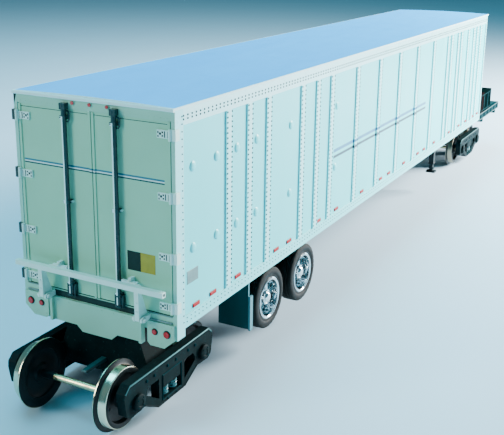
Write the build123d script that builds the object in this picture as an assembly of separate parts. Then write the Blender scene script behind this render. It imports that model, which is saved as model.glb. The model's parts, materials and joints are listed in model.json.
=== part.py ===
from build123d import *
import os
from math import cos, radians, sin

# Scale model, 1:48, of a van trailer that stands on two flanged-wheel bogies. Millimetres.
# +X points to the nose, +Z up, and z = 0 is at the bottoms of the wheel flanges.

# Flanged wheels and bogies
TREAD_R = 8.8            # 33 in wheel
FLANGE_R = 10.3
BACK_TO_BACK = 25.4      # between the two flange faces on one axle
WHEEL_W = 3.4            # flange face to the outer face
FLANGE_W = 1.0
RIM_DEPTH = 1.6          # tread down to the plate
WHEEL_HUB_R = 2.7
PLATE_DISH = 0.8         # the plate lies this deep in the wheel's back
AXLE_R = 0.8
JOURNAL_GAP = 0.06       # radial play of an axle end in its box
WHEELBASE = 34.0
BOGIE_SETBACK = 7.0      # the rear pivot stands this far inside the body's end
TONGUE_REACH = 7.0       # the front pivot stands this far ahead of the nose
FRAME_GAP = 1.5          # outer wheel face to the side frame
FRAME_T = 2.8
FRAME_TOP_Z = 16.8
FRAME_FOOT_Z = 3.4
WINDOW_DROP = 4.6        # spring window below the side frame's top
SPRING_SEAT_T = 1.6
WINDOW_HALF = 4.6
SPRING_R = 1.3
SPRING_OUT = 2.3         # spring ahead of and behind the pivot
FRAME_END = 5.9          # side frame past the axle
JOURNAL_R = 2.5
JOURNAL_OUT = 0.9
JOURNAL_DEPTH = 2.1      # bore for the axle end
FRAME_ROUND = 0.9
BOLSTER_H = 3.6
BOLSTER_HALF = 4.4
SADDLE_HALF_W = 11.0     # at the saddle's top
SADDLE_FOOT = 16.0       # half width at its foot
SOCKET_SPARE = 0.3       # socket deeper than the pivot pin
SADDLE_HALF = 5.0        # half length of the bolster's saddle, clear of both flanges
BRAKE_GAP = 0.4
SHOE_LOW = 2.3           # brake shoe above the axle
SHOE_HIGH = 4.3
HANGER_DROP = 2.6

# Van body
BODY_L = 336.5           # 53 ft
BODY_W = 54.0            # 102 in
BODY_H = 61.8            # lower side rail's underside to the roof's edge
BODY_RISE = 26.3         # wheel treads' underside to the lower side rail's underside
WALL_T = 1.2
STRIP_T = 0.4            # posts and side rails stand this far out of the side sheets
POST_W = 3.8
FIRST_POST = 28.6        # from the rear face
POST_PITCH = 12.6
REAR_POST_STEPS = (0, 1, 2, 4, 5, 6, 8, 10, 12, 14, 16)
NOSE_POSTS = (81.5, 74.9, 62.4, 56.2, 42.0, 30.2, 22.7, 14.9)   # from the nose
LOWER_RAIL_H = 3.6
UPPER_RAIL_H = 4.4
RAIL_LEG = 2.6           # inward leg of a side rail
RAIL_LEG_T = 0.6
ROOF_T = 0.6
ROOF_CROWN = 0.5
ROOF_RIM = 0.7           # the roof's rear edge stands this far behind the doors
FLOOR_T = 1.3
FLOOR_TOP = 6.0          # above the lower side rail's underside
BEAM_PITCH = 12.7
BEAM_FLANGE_W = 1.4
BEAM_T = 0.5
MOUNT_PLATE_L = 14.0     # longer than the beams' pitch, so that it always meets a beam
NOSE_CORNER_R = 2.4
NOSE_CORNER_W = 4.0

# Rear end
CORNER_POST_W = 1.2
CORNER_POST_D = 4.0
CORNER_POST_DROP = 2.3   # the posts' feet hang below the side rails
HEADER_H = 2.8
DOOR_T = 1.3
DOOR_INSET = 0.3
DOOR_GAP = 0.3
SILL_DEPTH = 0.5         # the rear sill reaches below the side rails
SILL_TOP = 4.6           # the sill's outer face ends just under the doors
DOOR_ZONE = 2.0          # depth behind the rear face that the doors keep free
ROD_R = 0.75
ROD_Y = 8.4
ROD_STANDOFF = 0.9       # rod axis behind the rear face
ROD_GUIDES = (8.0, 32.6, 56.6)   # above the side rails' underside
ROD_GUIDE_HALF_W = 0.95
ROD_GUIDE_HALF_H = 0.5
ROD_TOP_GAP = 1.4
LEVER_UP = 12.4
LEVER_L = 6.4
CATCH_AT = 3.6           # handle's catch from the rod
HINGE_STRAP_L = 3.2
HINGE_STRAP_H = 2.2
HINGE_LOWEST = 7.3
HINGE_TOP_GAP = 6.4      # highest hinge below the roof's edge
HINGE_PITCH = 16.9       # between the upper three hinges
LAMP_PLATE_T = 0.8
LAMP_PLATE_INSET = 0.6   # plate's outer edge inside the body's side
LAMP_PLATE_TOP = 2.3
LAMP_PLATE_DROP = 5.0
LAMP_PLATE_CUT = (3.2, 2.8)
LAMP_PLATE_NICK = 0.9
LAMP_OUT = 0.5           # lamps stand this far out
TAIL_LAMP_DROP = 0.6
MARKER_LAMPS = (-5.8, 0, 5.8)
MARKER_LAMP_R = 0.5
TAIL_LAMPS = ((2.3, 0.9), (6.3, 0.7))   # inward from the plate's outer edge, radius
APRON_HALF_W = 16.2
APRON_TOP = 2.4
APRON_DROP = 4.8
APRON_DEEP = 6.6         # the middle part hangs this low
APRON_STEP = (7.2, 5.2)  # half widths of the deep part, at its top and foot
APRON_FLANGE = 0.9
APRON_OUT = 1.8
GUARD_HALF_W = 25.6
GUARD_BAR = 1.5
GUARD_ARM_Y = 16.8
GUARD_GUSSET = 2.9       # the arm's foot reaches this far ahead of the pivot
GUARD_ARM_W = 1.4
GUARD_PIVOT_BACK = 3.4   # pivot behind the rear face
GUARD_PIVOT_UP = 3.4     # pivot above the side rails' underside
GUARD_ARM_L = 9.2
GUARD_PIN_R = 0.5
PIN_GAP = 0.06
POCKET_HALF_W = 14.0
POCKET_L = 13.0
POCKET_H = 1.5
POCKET_PLATE_T = 0.6
LOCK_PIN_R = 1.0

# Pivot plates
PIVOT_PLATE_T = 0.8
PIVOT_PLATE_L = 26.0     # from the body's end
PIVOT_PLATE_W = 40.0
PIVOT_PIN_R = 1.1
PIVOT_PIN_L = 3.4
PIVOT_GAP = 0.1
KINGPIN_X = 19.05        # 36 in behind the nose
KINGPIN_R = 0.53
KINGPIN_L = 1.9
KINGPIN_HEAD_R = 0.75

# Road wheels
ROAD_AXLE_X = (56.9, 82.9)   # from the rear face
ROAD_AXLE_DROP = 10.9        # below the side rails' underside
TYRE_R = 10.4
TYRE_W = 5.4
TYRE_GAP = 1.6
TYRE_OUT = 0.2               # outer tyre's wall inside the body's side
RIM_R = 6.9
RIM_T = 0.7
LIP_INSET = 0.3              # rim's lip inside the tyre's wall
HUB_R = 2.2
HAND_HOLE_R = 0.8
HAND_HOLE_PITCH_R = 4.3
FLAP_GAP = 3.2               # mud flap behind the tyres
FLAP_T = 0.6
FLAP_DROP = 17.0
FLAP_BAR_T = 1.0
FLAP_STRIP_W = 0.7
FLAP_STRIP_TOP = 5.6         # strip starts this far under the side rail
ROAD_AXLE_R = 1.3
SPINDLE_R = 0.9
HAND_HOLES = 10
SUBFRAME_W = 1.6
SUBFRAME_REACH = 22.0        # past each axle
AIR_SPRING_R = 2.4
AIR_SPRING_GAP = 1.5         # to the inner tyre
AIR_SPRING_BACK = 6.6        # behind its axle
ARM_PIVOT_AHEAD = 10.0       # ahead of its axle
ARM_TAIL = 10.0              # behind its axle
SUBFRAME_H = 3.0
HANGER_L = 3.8               # hanger under the subframe's rail, down to the arm's eye
AIR_SEAT = 1.1               # arm's thickness under the air spring

# Landing gear
LEG_FROM_NOSE = 70.0
TANK_R = 2.6
TANK_HALF_L = 11.0
TANK_PITCH = 6.6
TANK_AHEAD = 7.0         # first tank ahead of the subframe
LEG_Y = 19.0
LEG_SIDE = 2.6
LEG_L = 16.6
LEG_TUBE = 4.0           # inner tube below the outer one
SHAFT_DROP = 4.0
CRANK_OUT = 3.0
BRACE_REACH = 7.0
BRACE_W = 1.0
SHOE_L = 5.2
SHOE_W = 4.6
SHOE_T = 1.2

# Coupler bogie's deck, ahead of the nose
DECK_GAP = 4.6
DECK_HALF_W = 25.4
DECK_PLATE_T = 1.0
UPPER_DECK_L = 27.2
LOWER_DECK_L = 51.0
DECK_BOTTOM = -2.2       # the deck's heights are measured from the side rails' underside
LOWER_DECK_TOP = 1.8
UPPER_DECK_TOP = 14.1
TONGUE_HALF_W = 12.0
TONGUE_TIP = 4.0         # ahead of the front pivot
TONGUE_GAP = 1.4         # to each side of the slot in the deck's rear wall
DRAFT_SILL_HALF_W = 5.0
DRAFT_SILL_TOP = -4.2
DRAFT_SILL_H = 4.4
DRAFT_POCKET_L = 6.0
COUPLER_RISE = 18.2      # above the treads' underside
COUPLER_OUT = 4.6        # knuckle ahead of the deck

# Places worked out from the sizes
TREAD_Z = FLANGE_R - TREAD_R
SILL_Z = TREAD_Z + BODY_RISE
TOP_Z = SILL_Z + BODY_H
rear_overhang = WHEELBASE / 2 + FLANGE_R - BOGIE_SETBACK
front_reach = DECK_GAP + LOWER_DECK_L + COUPLER_OUT
REAR_X = rear_overhang - (rear_overhang + BODY_L + front_reach) / 2
NOSE_X = REAR_X + BODY_L
SIDE_Y = BODY_W / 2
SHEET_Y = SIDE_Y - STRIP_T
REAR_PIVOT_X = REAR_X + BOGIE_SETBACK
FRONT_PIVOT_X = NOSE_X + TONGUE_REACH
FRAME_Y = BACK_TO_BACK / 2 + WHEEL_W + FRAME_GAP
SADDLE_TOP = SILL_Z - PIVOT_PLATE_T - PIVOT_GAP
INNER_TYRE_FACE = SIDE_Y - TYRE_OUT - TYRE_GAP - 2 * TYRE_W
SUBFRAME_Y = INNER_TYRE_FACE - AIR_SPRING_GAP - AIR_SPRING_R

# Posts on each side
POSTS = [REAR_X + FIRST_POST + POST_PITCH * n for n in REAR_POST_STEPS]
POSTS += [NOSE_X - back for back in NOSE_POSTS]


def block(x, y, z):
    """A box given by its low and high x, y and z."""
    size = [high - low for low, high in (x, y, z)]
    middle = [(high + low) / 2 for low, high in (x, y, z)]
    return Pos(*middle) * Box(*size)


def rod(start, end, radius):
    """A round bar between two points."""
    line = Vector(*end) - Vector(*start)
    return Solid.make_cylinder(radius, line.length, Plane(origin=start, z_dir=line))


def outline_face(points, round_r=0.0):
    """A flat face from its corners, with the corners rounded if a radius is given."""
    face = make_face(Polyline(*points, close=True))
    return fillet(face.vertices(), round_r) if round_r else face


def plate_across(points, y, round_r=0.0):
    """A plate whose outline is (x, z) points and which runs from y[0] to y[1]."""
    plane = Plane(origin=(0, y[0], 0), x_dir=(1, 0, 0), z_dir=(0, -1, 0))
    return extrude(plane * outline_face(points, round_r), amount=y[1] - y[0], dir=(0, 1, 0))


def plate_along(points, x, round_r=0.0):
    """A plate whose outline is (y, z) points and which runs from x[0] to x[1]."""
    plane = Plane(origin=(x[0], 0, 0), x_dir=(0, 1, 0), z_dir=(1, 0, 0))
    return extrude(plane * outline_face(points, round_r), amount=x[1] - x[0], dir=(1, 0, 0))


def turned(profile, x, z):
    """A body of revolution about a line along Y, from (radius, y) points."""
    return Pos(x, 0, z) * revolve(outline_face(profile), Axis.Y)


def other_side(shape):
    """The same shape on the other side of the body."""
    return mirror(shape, about=Plane.XZ)


def save(name, *shapes):
    """Write one sub-part, made of one solid or of several that stand apart."""
    solids = [solid for shape in shapes for solid in shape.solids()]
    export_step(solids[0] if len(solids) == 1 else Compound(solids), f"parts/{name}.step")


def side_panel():
    """Left side sheet with its riveted post strips."""
    bottom = SILL_Z + RAIL_LEG_T
    top = TOP_Z - RAIL_LEG_T
    sheet_x = (REAR_X + CORNER_POST_D, NOSE_X - NOSE_CORNER_W)
    panel = block(sheet_x, (SHEET_Y - WALL_T, SHEET_Y), (bottom, top))
    strip_z = (SILL_Z + LOWER_RAIL_H, TOP_Z - UPPER_RAIL_H)
    for middle in POSTS:
        panel += block((middle - POST_W / 2, middle + POST_W / 2), (SHEET_Y, SIDE_Y), strip_z)
    return panel


def side_rail(leg_z, flange_z):
    """Left side rail: an outer flange over the sheet's edge and an inward leg."""
    x = (REAR_X + CORNER_POST_D, NOSE_X - NOSE_CORNER_W)
    flange = block(x, (SHEET_Y, SIDE_Y), flange_z)
    return flange + block(x, (SIDE_Y - RAIL_LEG, SIDE_Y), leg_z)


def roof():
    """Slightly crowned roof sheet on the upper side rails, with a straight rim over the doors."""
    outer = ThreePointArc((-SIDE_Y, TOP_Z), (0, TOP_Z + ROOF_CROWN), (SIDE_Y, TOP_Z))
    high = TOP_Z + ROOF_T
    inner = ThreePointArc((-SIDE_Y, high), (0, high + ROOF_CROWN), (SIDE_Y, high))
    right = Line((-SIDE_Y, TOP_Z), (-SIDE_Y, TOP_Z + ROOF_T))
    left = Line((SIDE_Y, TOP_Z), (SIDE_Y, TOP_Z + ROOF_T))
    plane = Plane(origin=(REAR_X, 0, 0), x_dir=(0, 1, 0), z_dir=(1, 0, 0))
    sheet = extrude(plane * make_face([outer, left, inner, right]), amount=BODY_L, dir=(1, 0, 0))
    rim_z = (TOP_Z - ROOF_RIM / 2, TOP_Z + ROOF_T)
    rim = block((REAR_X - ROOF_RIM, REAR_X), (-SIDE_Y, SIDE_Y), rim_z)
    return sheet + fillet(rim.edges().filter_by(Axis.Y).sort_by(Axis.X)[:2], ROOF_RIM / 4)


def floor():
    """Deck plate on inverted-tee cross beams."""
    half_w = SHEET_Y - WALL_T
    top = SILL_Z + FLOOR_TOP
    deck_x = (REAR_X + DOOR_ZONE, NOSE_X - WALL_T)
    deck = block(deck_x, (-half_w, half_w), (top - FLOOR_T, top))
    post_x = (REAR_X, REAR_X + CORNER_POST_D)
    for side in (-1, 1):
        post_y = sorted((side * (SIDE_Y - CORNER_POST_W), side * SIDE_Y))
        deck -= block(post_x, post_y, (top - FLOOR_T, top))
    beam_half = SIDE_Y - RAIL_LEG
    first = REAR_X + POCKET_L + BEAM_PITCH / 2
    count = int((NOSE_X - NOSE_CORNER_W - first) / BEAM_PITCH) + 1
    for n in range(count):
        x = first + n * BEAM_PITCH
        deck += block((x - BEAM_T / 2, x + BEAM_T / 2), (-beam_half, beam_half), (SILL_Z, top - FLOOR_T))
        flange_x = (x - BEAM_FLANGE_W / 2, x + BEAM_FLANGE_W / 2)
        deck += block(flange_x, (-beam_half, beam_half), (SILL_Z, SILL_Z + BEAM_T))
    return deck


def nose_wall():
    """Front sheet with its lower cross rail."""
    half_w = SIDE_Y - NOSE_CORNER_W
    sheet = block((NOSE_X - WALL_T, NOSE_X), (-half_w, half_w), (SILL_Z, TOP_Z))
    rail_x = (NOSE_X, NOSE_X + STRIP_T)
    return sheet + block(rail_x, (-half_w, half_w), (SILL_Z, SILL_Z + LOWER_RAIL_H))


def nose_corner():
    """Left front corner post with its rounded outer edge."""
    x = (NOSE_X - NOSE_CORNER_W, NOSE_X)
    y = (SIDE_Y - NOSE_CORNER_W, SIDE_Y)
    post = block(x, y, (SILL_Z, TOP_Z))
    edge = post.edges().filter_by(Axis.Z).sort_by(Axis.X)[-2:].sort_by(Axis.Y)[-1]
    post = fillet(edge, NOSE_CORNER_R)
    hollow_x = (x[0], x[1] - WALL_T)
    return post - block(hollow_x, (y[0], SHEET_Y - WALL_T), (SILL_Z - 1, TOP_Z + 1))


def corner_post():
    """Left rear corner post and its foot."""
    foot_z = SILL_Z - CORNER_POST_DROP
    return block((REAR_X, REAR_X + CORNER_POST_D), (SIDE_Y - CORNER_POST_W, SIDE_Y), (foot_z, TOP_Z))


def rear_header():
    """Beam over the doors."""
    half_w = SIDE_Y - CORNER_POST_W
    return block((REAR_X, REAR_X + CORNER_POST_D), (-half_w, half_w), (TOP_Z - HEADER_H, TOP_Z))


def rear_sill():
    """Beam under the doors, with a slot for the tongue pocket."""
    half_w = SIDE_Y - CORNER_POST_W
    foot = SILL_Z - SILL_DEPTH
    inner = REAR_X + DOOR_ZONE
    front = REAR_X + CORNER_POST_D
    sill = block((REAR_X, front), (-half_w, half_w), (foot, SILL_Z + SILL_TOP))
    sill += block((inner, front), (-half_w, half_w), (foot, SILL_Z + FLOOR_TOP - FLOOR_T))
    middle = pocket_z()
    half_h = POCKET_H / 2
    mouth_z = (middle - half_h, middle + half_h)
    sill -= block((REAR_X - 1, inner), (-POCKET_HALF_W, POCKET_HALF_W), mouth_z)
    half_h += POCKET_PLATE_T
    half_w = POCKET_HALF_W + POCKET_PLATE_T
    return sill - block((inner, front + 1), (-half_w, half_w), (middle - half_h, middle + half_h))


def pocket_z():
    """Middle height of the tongue pocket, just under the deck plate."""
    return SILL_Z + FLOOR_TOP - FLOOR_T - POCKET_PLATE_T - POCKET_H / 2


def tongue_pocket():
    """Flat steel pocket, open to the rear, with a hole for the lock pin through both plates."""
    middle = pocket_z()
    half_h = POCKET_H / 2 + POCKET_PLATE_T
    half_w = POCKET_HALF_W + POCKET_PLATE_T
    shell_x = (REAR_X + DOOR_ZONE, REAR_X + POCKET_L)
    shell = block(shell_x, (-half_w, half_w), (middle - half_h, middle + half_h))
    inside = (REAR_X - 1, REAR_X + POCKET_L - POCKET_PLATE_T)
    z = (middle - POCKET_H / 2, middle + POCKET_H / 2)
    shell -= block(inside, (-POCKET_HALF_W, POCKET_HALF_W), z)
    hole_x = REAR_X + POCKET_L / 2
    return shell - rod((hole_x, 0, middle - half_h - 1), (hole_x, 0, middle + half_h + 1), LOCK_PIN_R)


def door_leaf():
    """Left rear door with its edge trim and half of the centre seam."""
    x = (REAR_X + DOOR_INSET, REAR_X + DOOR_INSET + DOOR_T)
    y = (DOOR_GAP / 2, SIDE_Y - CORNER_POST_W - DOOR_GAP)
    z = (SILL_Z + SILL_TOP + DOOR_GAP, TOP_Z - HEADER_H - DOOR_GAP)
    leaf = block(x, y, z)
    trim_x = (REAR_X, x[0])
    leaf += block(trim_x, (y[1] - 0.8, y[1]), z)
    return leaf + block(trim_x, (y[0], y[0] + 0.8), z)


def lock_rod():
    """Left lock rod with its guides, cam keepers and handle."""
    x = REAR_X - ROD_STANDOFF
    face = REAR_X + DOOR_INSET
    bar = rod((x, ROD_Y, SILL_Z + SILL_TOP + 0.4), (x, ROD_Y, TOP_Z - ROD_TOP_GAP), ROD_R)
    guide_y = (ROD_Y - ROD_GUIDE_HALF_W, ROD_Y + ROD_GUIDE_HALF_W)
    for up in ROD_GUIDES:
        z = SILL_Z + up
        bar += block((x - ROD_R, face), guide_y, (z - ROD_GUIDE_HALF_H, z + ROD_GUIDE_HALF_H))
    keeper_z = (TOP_Z - HEADER_H - 0.2, TOP_Z - ROD_TOP_GAP + 0.2)
    bar += block((x - ROD_R, REAR_X), guide_y, keeper_z)
    lever_z = SILL_Z + LEVER_UP
    bar += block((x - 0.4, x + 0.4), (ROD_Y, ROD_Y + LEVER_L), (lever_z - 0.5, lever_z + 0.5))
    catch_y = (ROD_Y + CATCH_AT, ROD_Y + CATCH_AT + 1.0)
    return bar + block((x - 0.6, face), catch_y, (lever_z - 0.9, lever_z + 1.5))


def hinge_heights():
    """Middle heights of the hinges: the lowest, and three at one pitch under the roof."""
    high = TOP_Z - HINGE_TOP_GAP
    return [SILL_Z + HINGE_LOWEST] + [high - HINGE_PITCH * n for n in (2, 1, 0)]


def door_hinges():
    """Left door's hinge straps."""
    straps = []
    outer = SIDE_Y - CORNER_POST_W - DOOR_GAP - 0.8
    for up in hinge_heights():
        z = (up - HINGE_STRAP_H / 2, up + HINGE_STRAP_H / 2)
        straps.append(block((REAR_X - 0.2, REAR_X + DOOR_INSET), (outer - HINGE_STRAP_L, outer), z))
    return straps


def hinge_butts():
    """Left hinge knuckles and the butts that wrap the corner post."""
    butts = []
    for up in hinge_heights():
        z = (up - 1.5, up + 1.5)
        butt = block((REAR_X - 0.5, REAR_X), (SIDE_Y - CORNER_POST_W + 0.3, SIDE_Y + 0.5), z)
        butt += block((REAR_X - 0.5, REAR_X + 1.4), (SIDE_Y, SIDE_Y + 0.5), z)
        pin_y = SIDE_Y - CORNER_POST_W
        butts.append(butt + rod((REAR_X - 0.5, pin_y, z[0]), (REAR_X - 0.5, pin_y, z[1]), 0.5))
    return butts


def lamp_plate():
    """Left tail lamp plate with its cut outer corner."""
    inner = APRON_HALF_W + 1.4
    outer = SIDE_Y - LAMP_PLATE_INSET
    top = SILL_Z + LAMP_PLATE_TOP
    foot = SILL_Z - LAMP_PLATE_DROP
    cut_y, cut_z = LAMP_PLATE_CUT
    points = [(inner + LAMP_PLATE_NICK, foot), (outer - cut_y, foot), (outer, foot + cut_z),
              (outer, top), (inner, top), (inner, foot + LAMP_PLATE_NICK)]
    plate = plate_along(points, (REAR_X - LAMP_PLATE_T, REAR_X))
    return plate + block((REAR_X, REAR_X + 2.0), (inner, inner + 0.8), (foot, SILL_Z - SILL_DEPTH))


def tail_lamps():
    """Left pair of round tail lamps."""
    lamps = []
    z = SILL_Z - TAIL_LAMP_DROP
    face = REAR_X - LAMP_PLATE_T
    for inward, radius in TAIL_LAMPS:
        y = SIDE_Y - LAMP_PLATE_INSET - inward
        lamps.append(rod((face - LAMP_OUT, y, z), (face, y, z), radius))
    return lamps


def marker_lamps():
    """Three small lamps on the header."""
    z = TOP_Z - HEADER_H / 2 + 0.3
    return [rod((REAR_X - LAMP_OUT, y, z), (REAR_X, y, z), MARKER_LAMP_R) for y in MARKER_LAMPS]


def apron():
    """Plate under the sill, deeper in the middle, with a flange at each end."""
    half = APRON_HALF_W
    top = SILL_Z + APRON_TOP
    foot = SILL_Z - APRON_DROP
    deep = SILL_Z - APRON_DEEP
    wide, narrow = APRON_STEP
    points = [(-half, top), (-half, foot), (-wide, foot), (-narrow, deep),
              (narrow, deep), (wide, foot), (half, foot), (half, top)]
    plate = plate_along(points, (REAR_X - LAMP_PLATE_T, REAR_X))
    for low, high in ((-half, APRON_FLANGE - half), (half - APRON_FLANGE, half)):
        plate += block((REAR_X - APRON_OUT, REAR_X), (low, high), (foot, top))
    return plate


def guard_pivot():
    """Place of the underride guard's pivot, as x and z."""
    return REAR_X - GUARD_PIVOT_BACK, SILL_Z + GUARD_PIVOT_UP


def guard_lugs():
    """Left pair of lugs that hold the guard's pin."""
    x, z = guard_pivot()
    lugs = []
    for side in (-1, 1):
        inner = GUARD_ARM_Y + side * (GUARD_ARM_W / 2 + 0.2)
        y = sorted((inner, inner + side * 0.6))
        points = [(REAR_X, z - 0.8), (x, z - 0.9), (x - 0.9, z - 0.5), (x - 0.9, z + 0.5),
                  (x, z + 0.9), (REAR_X, z + 0.6)]
        lug = plate_across(points, y)
        lugs.append(lug - rod((x, y[0] - 1, z), (x, y[1] + 1, z), GUARD_PIN_R + PIN_GAP))
    return lugs


def underride_guard():
    """Raised bar with its two arms and pivot pins."""
    x, z = guard_pivot()
    bar_x = x - GUARD_BAR / 2
    top = z + GUARD_ARM_L
    half = GUARD_BAR / 2
    bar = block((bar_x - half, bar_x + half), (-GUARD_HALF_W, GUARD_HALF_W), (top - half, top + half))
    for side in (-1, 1):
        y = (side * GUARD_ARM_Y - GUARD_ARM_W / 2, side * GUARD_ARM_Y + GUARD_ARM_W / 2)
        points = [(x, z - 0.8), (x - 1.0, z - 0.2), (bar_x - 0.5, top), (bar_x + 0.6, top),
                  (x + GUARD_GUSSET, z + 1.0), (x + GUARD_GUSSET - 0.3, z + 0.2), (x + 0.8, z - 0.3)]
        bar += plate_across(points, y)
        bar += rod((x, y[0] - 1.0, z), (x, y[1] + 1.0, z), GUARD_PIN_R)
    return bar


def pivot_plate(plate_x, pin_x):
    """Plate under the cross beams with the pin that a bogie turns on."""
    low = SILL_Z - PIVOT_PLATE_T
    plate = block(plate_x, (-PIVOT_PLATE_W / 2, PIVOT_PLATE_W / 2), (low, SILL_Z))
    return plate + rod((pin_x, 0, low - PIVOT_PIN_L), (pin_x, 0, low), PIVOT_PIN_R)


def kingpin_plate():
    """Front plate with the kingpin, and the tongue ahead of the nose that rests on the lead bogie."""
    plate = pivot_plate((NOSE_X - PIVOT_PLATE_L, NOSE_X), FRONT_PIVOT_X)
    tip = FRONT_PIVOT_X + TONGUE_TIP
    points = [(NOSE_X, -TONGUE_HALF_W), (tip - 2.0, -TONGUE_HALF_W), (tip, 2.0 - TONGUE_HALF_W),
              (tip, TONGUE_HALF_W - 2.0), (tip - 2.0, TONGUE_HALF_W), (NOSE_X, TONGUE_HALF_W)]
    top = SILL_Z - PIVOT_PLATE_T
    plate += extrude(Pos(0, 0, top) * outline_face(points), amount=PIVOT_PLATE_T, dir=(0, 0, 1))
    x = NOSE_X - KINGPIN_X
    plate += rod((x, 0, top - KINGPIN_L), (x, 0, top), KINGPIN_R)
    return plate + rod((x, 0, top - KINGPIN_L - 0.4), (x, 0, top - KINGPIN_L), KINGPIN_HEAD_R)


def side_frame(x):
    """Left side frame of a bogie: arched beam, spring window, two openings and journal boxes."""
    box_x = WHEELBASE / 2
    y = (FRAME_Y, FRAME_Y + FRAME_T)
    end = box_x + FRAME_END
    half = [(0, FRAME_TOP_Z), (end - 2.2, FRAME_TOP_Z), (end - 0.2, FRAME_TOP_Z - 1.9),
            (end, FLANGE_R + 2.8), (end - 0.9, FLANGE_R - 2.4), (box_x + 3.0, FLANGE_R - 3.6),
            (box_x - 3.4, FLANGE_R - 3.2), (1.5 * WINDOW_HALF, FRAME_FOOT_Z), (0, FRAME_FOOT_Z)]
    points = half[1:-1] + [(-along, up) for along, up in reversed(half[1:-1])]
    frame = plate_across([(x + along, up) for along, up in points], y, FRAME_ROUND)
    window = (FRAME_FOOT_Z + SPRING_SEAT_T, FRAME_TOP_Z - WINDOW_DROP)
    frame -= block((x - WINDOW_HALF, x + WINDOW_HALF), (y[0] - 1, y[1] + 1), window)
    for side in (-1, 1):
        near = WINDOW_HALF + 2.0
        hole = [(near, window[1]), (box_x - 5.4, window[1]), (box_x - 4.4, FLANGE_R + 0.4),
                (box_x - 4.4, FLANGE_R - 0.8), (near, FRAME_FOOT_Z + SPRING_SEAT_T + 1.0)]
        frame -= plate_across([(x + side * along, up) for along, up in hole], (y[0] - 1, y[1] + 1))
        axle_x = x + side * box_x
        frame += rod((axle_x, y[1], FLANGE_R), (axle_x, y[1] + JOURNAL_OUT, FLANGE_R), JOURNAL_R)
        bore_end = y[0] + JOURNAL_DEPTH
        frame -= rod((axle_x, y[0] - 1, FLANGE_R), (axle_x, bore_end, FLANGE_R), AXLE_R + JOURNAL_GAP)
    return frame


def bolster(x):
    """Cross beam between the side frames with the saddle that carries the body."""
    seat_z = FRAME_TOP_Z - WINDOW_DROP
    end_y = FRAME_Y + FRAME_T
    low = seat_z - BOLSTER_H
    beam = block((x - BOLSTER_HALF, x + BOLSTER_HALF), (-end_y, end_y), (low, seat_z))
    points = [(-SADDLE_FOOT, low), (-SADDLE_FOOT, seat_z), (-SADDLE_HALF_W, SADDLE_TOP),
              (SADDLE_HALF_W, SADDLE_TOP), (SADDLE_FOOT, seat_z), (SADDLE_FOOT, low)]
    beam += plate_along(points, (x - SADDLE_HALF, x + SADDLE_HALF))
    socket = SADDLE_TOP - PIVOT_PIN_L - SOCKET_SPARE
    return beam - rod((x, 0, socket), (x, 0, SADDLE_TOP + 1), PIVOT_PIN_R + PIN_GAP)


def springs(x):
    """Left spring pair in the side frame's window."""
    low = FRAME_FOOT_Z + SPRING_SEAT_T
    high = FRAME_TOP_Z - WINDOW_DROP - BOLSTER_H
    y = FRAME_Y + FRAME_T / 2
    places = (x - SPRING_OUT, x + SPRING_OUT)
    return [rod((place, y, low), (place, y, high), SPRING_R) for place in places]


def brake_shoes(x):
    """Left pair of brake shoes with their hangers on the bolster."""
    shoes = []
    y = (BACK_TO_BACK / 2 + FLANGE_W + 0.9, BACK_TO_BACK / 2 + WHEEL_W - 0.4)
    z = (FLANGE_R + SHOE_LOW, FLANGE_R + SHOE_HIGH)
    for side in (-1, 1):
        wheel_x = x + side * WHEELBASE / 2
        reach = sorted((x + side * SADDLE_HALF, x + side * (WHEELBASE / 2 - 4)))
        hanger = block(reach, y, (z[0] - HANGER_DROP, z[1]))
        wheel = rod((wheel_x, y[0] - 1, FLANGE_R), (wheel_x, y[1] + 1, FLANGE_R), TREAD_R + BRAKE_GAP)
        shoes.append((hanger - wheel).solids().sort_by(Axis.X)[0 if side > 0 else -1])
    return shoes


def wheel():
    """Left flanged wheel: hub, plate dished on both faces, rim, tread and flange, as (radius, y) points."""
    back = BACK_TO_BACK / 2
    face = back + WHEEL_W
    rim = TREAD_R - RIM_DEPTH
    plate = (back + PLATE_DISH, face - PLATE_DISH - 0.9)
    return [(AXLE_R, back), (WHEEL_HUB_R, back), (WHEEL_HUB_R, plate[0]), (rim, plate[0]), (rim, back),
            (FLANGE_R, back), (FLANGE_R, back + 0.7), (TREAD_R, back + FLANGE_W), (TREAD_R, face),
            (rim, face), (rim, plate[1]), (WHEEL_HUB_R, plate[1]), (WHEEL_HUB_R, face), (AXLE_R, face)]


def deck_frame():
    """Lower deck ahead of the nose: a shallow box open below, on cross beams and the draft sill."""
    rear = NOSE_X + DECK_GAP
    front = rear + LOWER_DECK_L
    bottom = SILL_Z + DECK_BOTTOM
    top = SILL_Z + LOWER_DECK_TOP
    half = DECK_HALF_W
    inner = half - DECK_PLATE_T
    frame = block((rear, front), (-half, half), (bottom, top))
    hollow_x = (rear + DECK_PLATE_T, front - DECK_PLATE_T)
    frame -= block(hollow_x, (-inner, inner), (bottom - 1, top - DECK_PLATE_T))
    slot_half = TONGUE_HALF_W + TONGUE_GAP
    frame -= block((rear - 1, rear + DECK_PLATE_T + 1), (-slot_half, slot_half), (bottom - 1, SILL_Z + 0.4))
    sill_top = SILL_Z + DRAFT_SILL_TOP
    sill_x = (FRONT_PIVOT_X + SADDLE_HALF, front - DRAFT_POCKET_L)
    frame += block(sill_x, (-DRAFT_SILL_HALF_W, DRAFT_SILL_HALF_W), (sill_top - DRAFT_SILL_H, sill_top))
    for x in (sill_x[0], front - 10.0):
        frame += block((x, x + 3.0), (-half, half), (sill_top, bottom))
    return frame + draft_pocket(front)


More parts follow.
